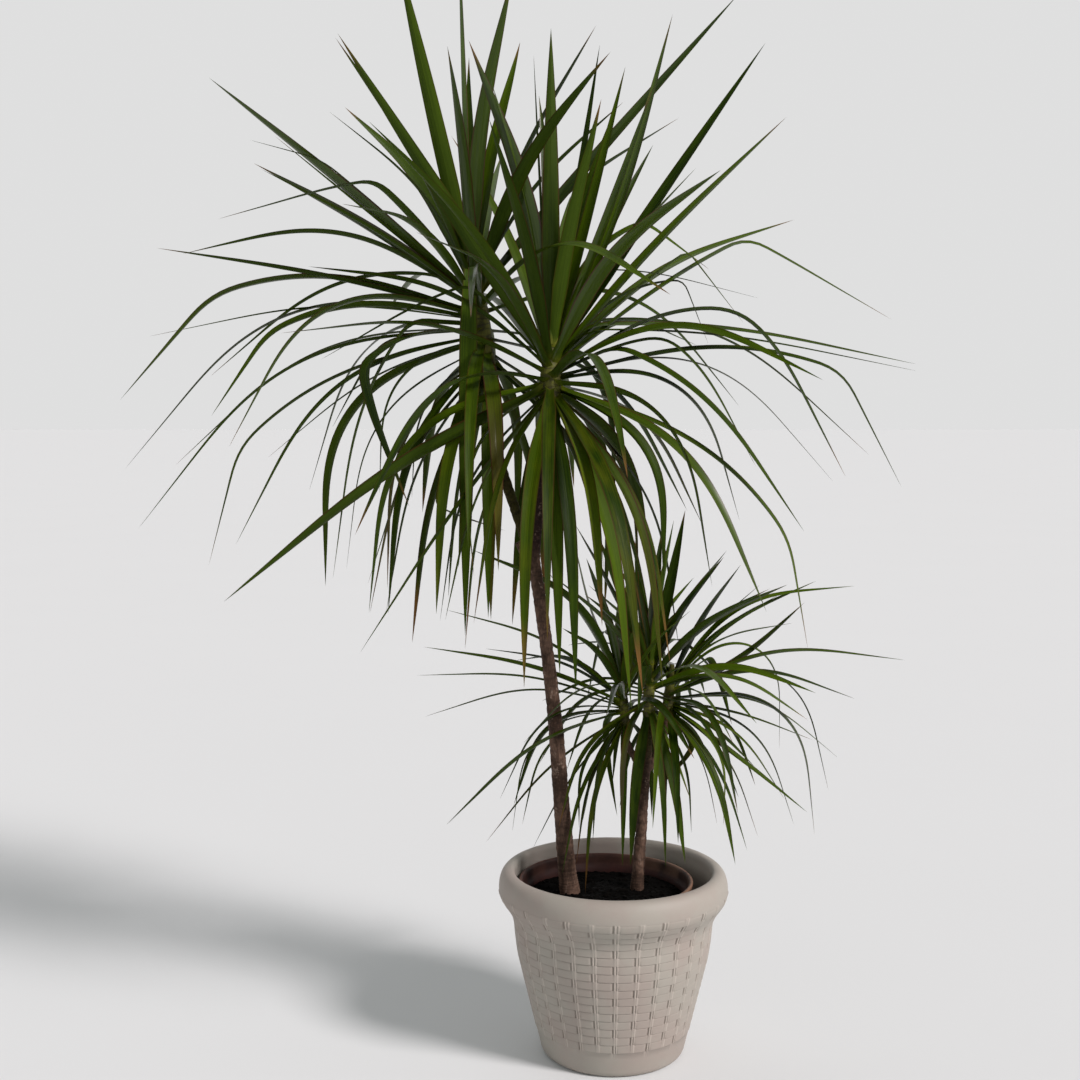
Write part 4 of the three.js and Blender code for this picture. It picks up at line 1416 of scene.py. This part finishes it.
@dataclass(frozen=True)
class Leaf:
    """One leaf: where it starts, where it points and how it bends. Angles are in degrees."""

    root: np.ndarray
    azimuth: float
    rise: float
    droop: float
    length: float
    width: float
    roll: float
    fold_at: float
    fold_angle: float
    sway: float
    twist: float
    youth: float

    def frame(self, t: np.ndarray) -> tuple[np.ndarray, np.ndarray, np.ndarray]:
        """Directions of the leaf at shares of its length.

        Args:
            t: Shares from 0 at the root to 1 at the tip.

        Returns:
            Directions along it, across it and out of its upper face.
        """
        half = FOLD_HALF + FOLD_SOFT * max(0, 1 - self.fold_angle / FOLD_SHARP)
        folded = self.fold_angle * smooth(t, self.fold_at - half, self.fold_at + half)
        rise = np.radians(self.rise - self.droop * smooth(t, BEND_FROM, BEND_TO) - folded)
        azimuth = np.radians(self.azimuth + self.sway * t * t)
        level = np.cos(rise)
        along = np.stack([level * np.cos(azimuth), level * np.sin(azimuth), np.sin(rise)], axis=1)
        flat = np.stack([-np.sin(azimuth), np.cos(azimuth), 0 * t], axis=1)
        roll = np.radians(self.roll + self.twist * t)[:, None]
        across = flat * np.cos(roll) + np.cross(along, flat) * np.sin(roll)
        return along, across, np.cross(along, across)

    def centres(self, steps: int) -> np.ndarray:
        """Centres after each of a number of even steps, from root to tip."""
        along, _, _ = self.frame((np.arange(steps) + 0.5) / steps)
        return self.root + np.vstack([[0, 0, 0], np.cumsum(along * self.length / steps, axis=0)])

    def stretches(self) -> Stretches:
        """The leaf as its solid has it.

        Returns:
            The solid's straight stretches.
        """
        bend = abs(self.droop) + self.fold_angle
        rings = np.array(STRAIGHT_RINGS if bend < STRAIGHT_DROOP else CURVED_RINGS)
        t = np.arange(PATH_STEPS + 1) / PATH_STEPS
        centres, widths = self.centres(PATH_STEPS)[rings], self.width * width_share(t)[rings]
        _, across, _ = self.frame(t[rings])
        half = np.maximum(widths[:-1], widths[1:]) / 2
        return Stretches(centres[:-1], centres[1:], across[:-1], half, True)


YOUNGEST_RISE = 86
OLDEST_RISE = -58
NECK_TOP = 0.97
ROOT_INSET = 0.45
NO_FOLD = (2, 0)  # folds past the tip, by nothing
ROW_LENGTH = 8


def youth_of(rise: float) -> float:
    """0 for the oldest, hanging leaves to 1 for the youngest, upright ones."""
    return min(max((rise - OLDEST_RISE) / (YOUNGEST_RISE - OLDEST_RISE), 0), 1)


def drawn(draws: "Draws", span: float) -> float:
    """A random number within half a span on either side of 0."""
    return (draws.next() - 0.5) * span


@dataclass(frozen=True)
class Habit:
    """How much leaves vary, those of the spiral and, in sway and twist, the standouts. In degrees."""

    turn: float = 14
    rise: float = 12
    loosening: float = 6
    fold_chance: float = 0.07
    fold_below: float = 60
    fold_from: float = 0.35
    fold_span: float = 0.3
    fold_least: float = 45
    fold_more: float = 35
    droop_least: float = 14
    droop_more: float = 56
    droop_most_at: float = -5
    droop_span: float = 40
    droop_low: float = 0.7
    droop_spread: float = 0.6
    length_low: float = 0.82
    length_spread: float = 0.26
    short: float = 0.84
    long_from: float = -20
    long_to: float = 50
    width_low: float = 0.78
    width_spread: float = 0.36
    roll: float = 70
    sway: float = 24
    twist: float = 40
    row_sway: float = 8
    row_twist: float = 16


HABIT = Habit()
VARIETY_SALT = 5.5


@dataclass
class Head:
    """A growing tip: its neck, the leaves that stand out and the spiral of its other leaves.

    A standout is (azimuth, rise, droop, length, width, roll) and may add where it folds and how far.
    """

    name: str
    neck: Sequence[Point]
    leaf_from: float
    leaves: int
    length: float
    width: float
    lean: float
    lean_to: float
    standouts: Sequence[tuple[float, ...]]
    age_power: float = 1.15
    old_width: float = 1

    def root_on(self, rise: float, azimuth: float) -> np.ndarray:
        """Where a leaf leaves the neck: low for old ones and high for young ones.

        Args:
            rise: The leaf's rise at its root.
            azimuth: The leaf's azimuth.

        Returns:
            Its root.
        """
        at = (self.leaf_from + (NECK_TOP - self.leaf_from) * youth_of(rise)) * (len(self.neck) - 1)
        before = min(int(at), len(self.neck) - 2)
        low, high = (np.array(knot, dtype=float) for knot in self.neck[before:before + 2])
        mixed = low + (high - low) * (at - before)
        turn = math.radians(azimuth)
        return mixed[:3] + ROOT_INSET * mixed[3] * np.array([math.cos(turn), math.sin(turn), 0])

    def standout(self, row: tuple[float, ...], draws: Draws, attempt: int) -> Leaf:
        """A leaf from a standout's numbers.

        Args:
            row: The standout's numbers.
            draws: Random numbers.
            attempt: How often it has been tried, which loosens it.

        Returns:
            The leaf.
        """
        azimuth, rise, droop, length, width, roll, fold_at, fold_angle = (*row, *NO_FOLD)[:ROW_LENGTH]
        azimuth += drawn(draws, 2 * attempt)
        rise += drawn(draws, attempt)
        sway, twist = drawn(draws, HABIT.row_sway), drawn(draws, HABIT.row_twist)
        return Leaf(self.root_on(rise, azimuth), azimuth, rise, droop, length, width, roll, fold_at,
                    fold_angle, sway, twist, youth_of(rise))

    def spiral(self, number: int, draws: Draws, attempt: int) -> Leaf:
        """A leaf from its number in the spiral, from the oldest up.

        Args:
            number: Its number.
            draws: Random numbers.
            attempt: How often it has been tried, which loosens it.

        Returns:
            The leaf.
        """
        habit, loosen = HABIT, 1 + attempt / HABIT.loosening
        azimuth = number * GOLDEN_ANGLE + drawn(draws, habit.turn) * loosen
        age = (number / (self.leaves - 1)) ** self.age_power
        steady = OLDEST_RISE + (YOUNGEST_RISE - OLDEST_RISE) * age
        rise = steady - self.lean * math.cos(math.radians(azimuth - self.lean_to))
        rise += drawn(draws, habit.rise) * loosen
        folds = draws.next() < habit.fold_chance and rise < habit.fold_below
        level = math.exp(-((rise - habit.droop_most_at) / habit.droop_span) ** 2)
        droop = habit.droop_least + habit.droop_more * level
        droop *= habit.droop_low + habit.droop_spread * draws.next()
        length = self.length * (habit.length_low + habit.length_spread * draws.next())
        length *= 1 if habit.long_from <= rise <= habit.long_to else habit.short
        width = self.width * (habit.width_low + habit.width_spread * draws.next())
        width *= self.old_width + (1 - self.old_width) * youth_of(rise)
        roll, sway, twist = (drawn(draws, span) for span in (habit.roll, habit.sway, habit.twist))
        fold_at = habit.fold_from + habit.fold_span * draws.next()
        fold_angle = habit.fold_least + habit.fold_more * draws.next() if folds else 0
        return Leaf(self.root_on(rise, azimuth), azimuth, rise, droop, length, width, roll, fold_at,
                    fold_angle, sway, twist, youth_of(rise))


HEADS = (
    Head("tall_left_crown",
         ((-142, 25, 748.3, 8), (-142, 25, 758, 8.6), (-149, 26, 815, 10.5), (-160, 27, 890, 11),
          (-170, 27, 950, 4.5)),
         0.5, 41, 385, 17, 10, 185, (
             (262, 45, 4, 470, 21, 0, 0.09, 128), (178, 41, 3, 405, 19, 35),
             (176, 36, 8, 310, 17, 40), (180, 77, 0, 385, 21, 75), (130, 87, 0, 385, 20, 35),
             (185, 15, 7, 378, 13, 20), (183, 17, 42, 480, 15, 20, 0.66, 24),
             (180, 10, 60, 500, 15, -15), (186, -4, 48, 490, 12, 15),
             (178, -12, 36, 470, 10, 20, 0.69, 27), (200, -12, 50, 400, 14, 25),
             (205, 2, 32, 400, 18, 20, 0.21, 52), (14, 49, 1, 485, 15, 60),
             (248, -42, 42, 330, 17, 0), (225, -38, 46, 345, 16, 0), (205, -50, 30, 320, 16, 20),
             (272, -52, 32, 310, 16, 0), (177, 39, 0, 305, 8, 25), (175, 64, 26, 265, 10, 20),
             (189, 36, 10, 285, 10, 20), (200, -16, 72, 250, 12, 20), (200, -34, 54, 205, 14, 10),
             (178, 36, 46, 365, 11, 20, 0.13, 30), (180, 8, 20, 392, 8, 10),
             (184, 10, 42, 370, 15, 25, 0.68, 24), (178, -2, 40, 420, 8, 10),
             (190, -16, 24, 290, 8, 10), (190, -2, 30, 230, 12, 20, 0.5, 28),
             (195, -27, 56, 330, 9, 15), (205, -46, 26, 300, 14, 15),
             (180, 43, 4, 325, 7, 15, 0.73, 24))),
    Head("tall_right_crown",
         ((-77, -30, 748.3, 9.5), (-77, -30, 758, 12), (-76, -31, 786, 13), (-76, -32, 812, 12),
          (-76, -32, 852, 4.5)),
         0.5, 41, 375, 17, 3, 300, (
             (200, 55, 0, 418, 19, 60), (272, 89, 0, 352, 21, 0), (182, 84, 16, 355, 21, 75),
             (2, 57, 2, 430, 17, 50), (358, 50, 7, 380, 15, 45), (4, 65, -10, 408, 14, 60),
             (15, 75, 0, 335, 15, 40), (2, 38, 16, 455, 12, 25, 0.58, 52),
             (2, 50, 14, 440, 14, 25, 0.12, 48), (350, 30, 68, 448, 20, 15, 0.5, 25),
             (6, 14, 36, 500, 15, 20, 0.69, 40), (8, 14, 62, 392, 7, 15),
             (350, 24, 36, 382, 18, 20, 0.2, 44), (203, -24, 14, 440, 21, 55),
             (213, -45, 8, 370, 18, 40), (296, -32, 45, 400, 18, 0), (335, -18, 48, 375, 17, 20),
             (352, -18, 40, 456, 15, 20, 0.72, 22), (257, -44, 44, 360, 17, 0),
             (306, -50, 32, 380, 18, 0), (330, -46, 38, 370, 17, 10), (352, -48, 34, 350, 16, 20),
             (18, -40, 42, 370, 15, 20), (284, -56, 28, 350, 17, 0),
             (12, 50, 46, 460, 13, 15, 0.13, 45), (354, 46, 12, 425, 8, 15, 0.12, 46),
             (4, 74, 58, 280, 14, 35, 0.67, 52), (0, 44, 12, 300, 10, 20, 0.66, 84),
             (4, 62, 24, 296, 7, 15, 0.38, 52), (6, 50, 50, 262, 9, 20, 0.7, 68),
             (355, 24, 52, 315, 11, 20, 0.42, 34), (8, 81, 0, 345, 13, 40),
             (352, 68, -2, 318, 13, 60), (40, 62, 6, 300, 14, 40), (140, 86, 0, 330, 12, 50))),
    Head("short_left_crown",
         ((15, 20, 388.3, 4.8), (15, 20, 394, 5.2), (13, 20, 418, 6.4), (11, 20, 454, 3)),
         0.35, 27, 215, 14, 8, 190, (
             (211, -8, 28, 268, 17, 15), (180, 14, 34, 245, 12, 15), (176, 19, 22, 255, 10, 20),
             (182, 24, 16, 250, 12, 40), (184, 66, 46, 255, 15, 40), (212, -47, 30, 200, 11, 10),
             (175, -36, 20, 236, 11, 20), (184, 42, 26, 240, 15, 20), (205, -53, 32, 184, 10, 15),
             (172, -46, 18, 198, 9, 15), (232, -48, 36, 215, 10, 10), (184, -6, 76, 232, 8, 15),
             (177, -10, 62, 212, 8, 15)), 0.8, 0.6),
    Head("short_middle_crown",
         ((42, 3, 404.3, 5.8), (42, 3, 410, 6.2), (42, 2, 436, 7.2), (44, 1, 478, 3)),
         0.4, 26, 215, 14, 5, 270, (
             (20, 76, -2, 190, 15, 50), (250, -64, 20, 184, 15, 0), (230, 62, 5, 195, 15, 20),
             (150, 64, 8, 200, 15, 50), (300, 30, 60, 220, 13, 10), (305, -58, 22, 186, 13, 10),
             (80, -60, 20, 120, 13, 0), (4, 48, 26, 200, 15, 25), (333, -58, 12, 118, 9, 10)), 0.8, 0.6),
    Head("short_right_crown",
         ((66, 28, 398.3, 5.6), (66, 28, 404, 6), (68, 28, 426, 6.8), (72, 28, 466, 3)),
         0.38, 27, 215, 14, 10, 20, (
             (356, 27, 34, 290, 11, 20), (5, 54, 50, 268, 9, 25), (2, 24, -18, 196, 11, 30),
             (352, 8, 92, 295, 12, 10), (8, 22, 98, 305, 7, 0), (350, -34, 4, 206, 10, 30),
             (322, -44, 34, 204, 14, 10), (345, -22, 22, 125, 13, 10), (340, -44, 28, 195, 10, 10),
             (0, -36, 36, 200, 9, 10), (5, -12, 60, 240, 9, 10), (4, 44, 134, 256, 9, 10),
             (4, 4, 44, 236, 7, 15), (2, -8, 14, 182, 8, 15), (358, -18, 40, 190, 10, 15)), 0.8, 0.6),
)


@dataclass
class Growth:
    """The rule that places every leaf so that none cuts a stem, a pot or another head."""

    heads: Sequence[Head]
    stems: Sequence[Sequence[Point]]
    seed: int = 20413
    head_seed: int = 7919
    leaf_seed: int = 104729
    try_seed: int = 1299709
    tries: int = 40
    room_to_others: float = 2.2
    room_to_own: float = 0.6
    mouth_z: float = 204
    mouth_r: float = 80
    pot_z: float = 236
    pot_r: float = 157.5
    lowest: float = 60

    def stem_stretches(self, path: Sequence[Point]) -> Stretches:
        """A stem as straight stretches with the same reach to every side.

        Args:
            path: Points along it, each with its radius.

        Returns:
            Its stretches.
        """
        low, high = np.array(path[:-1], dtype=float), np.array(path[1:], dtype=float)
        half = np.maximum(low[:, 3], high[:, 3])
        return Stretches(low[:, :3], high[:, :3], 0 * high[:, :3], half, False)

    def over_pot(self, leaf: Stretches) -> bool:
        """Whether a leaf is too near the soil, the collar or the floor.

        Args:
            leaf: The leaf.

        Returns:
            True if it is.
        """
        r = np.hypot(leaf.end[:, 0], leaf.end[:, 1])
        least = np.select([r < self.mouth_r, r < self.pot_r], [self.mouth_z, self.pot_z], self.lowest)
        return bool(np.any(leaf.end[:, 2] < least))

    def clear(self, leaf: Stretches, h: int, fixed: list[Stretches],
              placed: list[list[Stretches]]) -> bool:
        """Whether a leaf has room where it is.

        Args:
            leaf: The leaf.
            h: Number of its head.
            fixed: Stems, then necks.
            placed: Leaves placed so far, for each head.

        Returns:
            True if it has.
        """
        if self.over_pot(leaf):
            return False
        own_neck = len(self.stems) + h
        for k, stem in enumerate(fixed):
            if not (leaf.after(1) if k == own_neck else leaf).clear_of(stem, self.room_to_others):
                return False
        for k, grown in enumerate(placed):
            if not grown:
                continue
            others = [other.after(2) for other in grown] if k == h else grown
            together = Stretches(*(np.concatenate([getattr(o, part) for o in others])
                                   for part in ("start", "end", "side", "half")), True)
            mine, room = (leaf.after(2), self.room_to_own) if k == h else (leaf, self.room_to_others)
            if not mine.clear_of(together, room):
                return False
        return True

    def grow(self) -> list[list[Leaf]]:
        """Places every leaf.

        Returns:
            The leaves of each head.
        """
        fixed = [self.stem_stretches(path) for path in self.stems]
        fixed += [self.stem_stretches(head.neck) for head in self.heads]
        leaves: list[list[Leaf]] = [[] for _ in self.heads]
        placed: list[list[Stretches]] = [[] for _ in self.heads]
        for turn in range(max(len(head.standouts) + head.leaves for head in self.heads)):
            for h, head in enumerate(self.heads):
                early = len(head.standouts)
                if turn >= early + head.leaves:
                    continue
                for attempt in range(self.tries):
                    draws = Draws(self.seed + h * self.head_seed + turn * self.leaf_seed
                                  + attempt * self.try_seed)
                    leaf = (head.standout(head.standouts[turn], draws, attempt) if turn < early
                            else head.spiral(turn - early, draws, attempt))
                    if self.clear(leaf.stretches(), h, fixed, placed):
                        leaves[h].append(leaf)
                        placed[h].append(leaf.stretches())
                        break
        return leaves


@dataclass
class Crown:
    """The ringed neck of a head and its fine leaf blades."""

    head: Head
    leaves: Sequence[Leaf]
    steps: int = 44
    upper: tuple[float, ...] = (1, 0.62, 0.13, 0, -0.13, -0.62, -1)
    lower: tuple[float, ...] = (-0.55, 0, 0.55)
    thickness: float = 0.42
    edge_thin: float = 1.35
    full_width: float = 8
    thinnest: float = 0.25
    sheath: float = 0.45
    sheath_ends: float = 0.035
    keel: float = 0.13
    root_keel: float = 0.12
    keel_ends: float = 0.08
    keel_power: float = 1.25
    neck_step: float = 0.8
    neck_sides: int = 48
    ring_pitch: float = 2.6
    ring_width: float = 0.8
    ring_depth: float = 0.55

    def blade(self, leaf: Leaf, number: int) -> Surface:
        """One thin blade, folded along its middle.

        Args:
            leaf: The leaf.
            number: Its number, which varies its colour.

        Returns:
            A closed blade with its place across and along it.
        """
        t = np.arange(self.steps + 1) / self.steps
        centres = leaf.centres(self.steps)
        _, across, up = leaf.frame(t)
        sheath = self.sheath * np.exp(-(t / self.sheath_ends) ** 2)
        width = leaf.width * (width_share(t, FINE_TAPER) + sheath)
        depth = width * (self.keel + self.root_keel * np.exp(-t / self.keel_ends))
        centre, side, face = (part[:-1, None] for part in (centres, across, up))
        wide, deep = width[:-1, None, None], depth[:-1, None, None]
        columns = np.array(self.upper + self.lower)[None, :, None]
        under = np.repeat([0, 1], [len(self.upper), len(self.lower)])[None, :, None]
        fold = deep * (1 - np.abs(columns) ** self.keel_power)
        thick = self.thickness * under * (self.edge_thin - np.abs(columns))
        thick = thick * np.clip(wide / self.full_width, self.thinnest, 1)
        rings = centre + side * columns * wide / 2 - face * (fold + thick)
        sides = columns.shape[1]
        points = np.vstack([rings.reshape(-1, 3), centres[-1:]])
        faces = ring_faces(self.steps, sides)
        last = (self.steps - 1) * sides
        faces += [(last + j, last + (j + 1) % sides, self.steps * sides) for j in range(sides)]
        faces.append(tuple(range(sides - 1, -1, -1)))
        variety = hashed(np.array(float(number)), VARIETY_SALT + len(self.head.standouts))
        values = {
            "across": np.append(np.tile(columns[0, :, 0], self.steps), 0),
            "along": np.append(np.repeat(t[:-1], sides), 1),
            "below": np.append(np.tile(under[0, :, 0], self.steps), 0),
            "variety": np.full(len(points), float(variety)),
            "youth": np.full(len(points), leaf.youth),
        }
        return Surface(points, faces, values)

    def build(self, leaf_looks: bpy.types.Material, neck_looks: bpy.types.Material) -> None:
        """Makes the neck and the blades.

        Args:
            leaf_looks: Material of the blades.
            neck_looks: Material of the neck.
        """
        path = StemPath(self.head.neck)
        neck = path.tube(self.neck_step, self.neck_sides)
        reach, turn = neck.values["reach"], neck.values["turn"]
        scar = leaf_scars(reach, turn, self.ring_pitch, self.ring_width)
        middle, _ = path.at(reach / reach.max())
        out = neck.points - middle
        out[:, 2] = 0
        out /= np.maximum(np.linalg.norm(out, axis=1), TINY)[:, None]
        neck.points = neck.points - out * (self.ring_depth * scar)[:, None]
        neck.values["scar"] = scar
        stub = self.head.name.removesuffix("_crown")
        dress(neck.piece(stub + "_neck"), neck_looks, "leaf", self.head.name)
        blades = Surface.joined([self.blade(leaf, number) for number, leaf in enumerate(self.leaves)])
        dress(blades.piece(stub + "_leaves", LUMP_CREASE), leaf_looks, "leaf", self.head.name)


# ---------------------------------------------------------------- stage

@dataclass(frozen=True)
class Viewpoint:
    """The camera, at the photograph's place and angle."""

    place: tuple[float, float, float] = (-0.088, -1.7, 0.756)
    pitch: float = 4.6
    lens: float = 48.07
    sensor: float = 36

    def build(self) -> None:
        """Makes the camera and looks through it."""
        camera = bpy.data.cameras.new("viewpoint")
        camera.lens = self.lens
        camera.sensor_width = self.sensor
        holder = bpy.data.objects.new("viewpoint", camera)
        holder.location = self.place
        holder.rotation_euler = (math.radians(90 - self.pitch), 0, 0)
        bpy.context.scene.collection.objects.link(holder)
        bpy.context.scene.camera = holder


@dataclass(frozen=True)
class SoftSun:
    """A large soft light that is as strong everywhere on the floor."""

    name: str
    azimuth: float
    elevation: float
    strength: float
    spread: float
    colour: Colour = (1, 1, 1)
    distance: float = 3

    def build(self) -> None:
        """Makes the light."""
        turn, lift = math.radians(self.azimuth), math.radians(self.elevation)
        level = math.cos(lift)
        towards = Vector((level * math.cos(turn), level * math.sin(turn), math.sin(lift)))
        light = bpy.data.lights.new(self.name, "SUN")
        light.energy = self.strength
        light.angle = math.radians(self.spread)
        light.color = self.colour
        holder = bpy.data.objects.new(self.name, light)
        holder.location = self.distance * towards
        holder.rotation_euler = (-towards).to_track_quat("-Z", "Y").to_euler()
        bpy.context.scene.collection.objects.link(holder)


@dataclass(frozen=True)
class Studio:
    """A pale floor that runs into an equally pale backdrop, under soft lights."""

    floor_size: float = 400
    low_strength: float = 0.74
    high_strength: float = 0.22
    low_until: float = 0.375
    high_from: float = 0.766
    lights: tuple[SoftSun, ...] = (
        SoftSun("key_light", -35, 36, 3.3, 14, (1.0, 0.93, 0.93)),
        SoftSun("back_light", 115, 60, 0.3, 40),
    )

    def build(self) -> None:
        """Makes the floor, the lights and the world."""
        edge = self.floor_size / 2 / MM
        corners = np.array([(-edge, -edge, 0), (edge, -edge, 0), (edge, edge, 0), (-edge, edge, 0)])
        floor = Surface(corners, [(0, 1, 2, 3)]).piece("floor")
        floor.data.materials.append(plain_material("pale_floor", PaleFloor()))
        for light in self.lights:
            light.build()
        world = bpy.data.worlds.new("soft_sky")
        world.use_nodes = True
        bpy.context.scene.world = world
        sheet = Sheet(world.node_tree)
        way = sheet.add("ShaderNodeTexCoord", output="Generated")
        up = sheet.add("ShaderNodeSeparateXYZ", None, {"Vector": way}, "Z")
        strength = up.rise(self.low_until, self.high_from, self.low_strength, self.high_strength)
        sky = sheet.add("ShaderNodeBackground", None, {"Color": (1, 1, 1), "Strength": strength})
        sheet.add("ShaderNodeOutputWorld", None, {"Surface": sky})
        bpy.context.scene.view_settings.view_transform = "Standard"


def main() -> None:
    """Builds every piece."""
    logging.basicConfig(level=logging.INFO, format="%(message)s")
    Viewpoint().build()
    Studio().build()
    Planter().build(plain_material("moulded_taupe_plastic", MouldedPlastic()))
    NurseryPot().build(plain_material("terracotta_brown_plastic", NurseryPlastic()))
    Soil().build(plain_material("potting_mix_crumbs", PottingMix()))
    bark = plain_material("ringed_bark", Bark())
    Stem("tall_stem", "tall_trunk", (
        (TALL_TRUNK, Tint.GREY), (TALL_LEFT_BRANCH, Tint.OLIVE), (TALL_RIGHT_BRANCH, Tint.MAROON),
        (TALL_STUB, Tint.GREY)), voxel=0.95, scar_pitch=3.4).build(bark)
    Stem("short_stem", "short_trunk", (
        (SHORT_TRUNK, Tint.GREY), (SHORT_LEFT_BRANCH, Tint.GREY), (SHORT_MIDDLE_BRANCH, Tint.OLIVE),
        (SHORT_RIGHT_BRANCH, Tint.GREY)), voxel=0.75, scar_pitch=2.8).build(bark)
    leaf_looks = plain_material("waxy_leaf", WaxyLeaf())
    neck_looks = plain_material("green_ringed_neck", GreenNeck())
    stems = (TALL_TRUNK, SHORT_TRUNK, TALL_LEFT_BRANCH, TALL_RIGHT_BRANCH, TALL_STUB,
             SHORT_LEFT_BRANCH, SHORT_MIDDLE_BRANCH, SHORT_RIGHT_BRANCH)
    for head, leaves in zip(HEADS, Growth(HEADS, stems).grow()):
        Crown(head, leaves).build(leaf_looks, neck_looks)


if __name__ == "__main__":
    main()
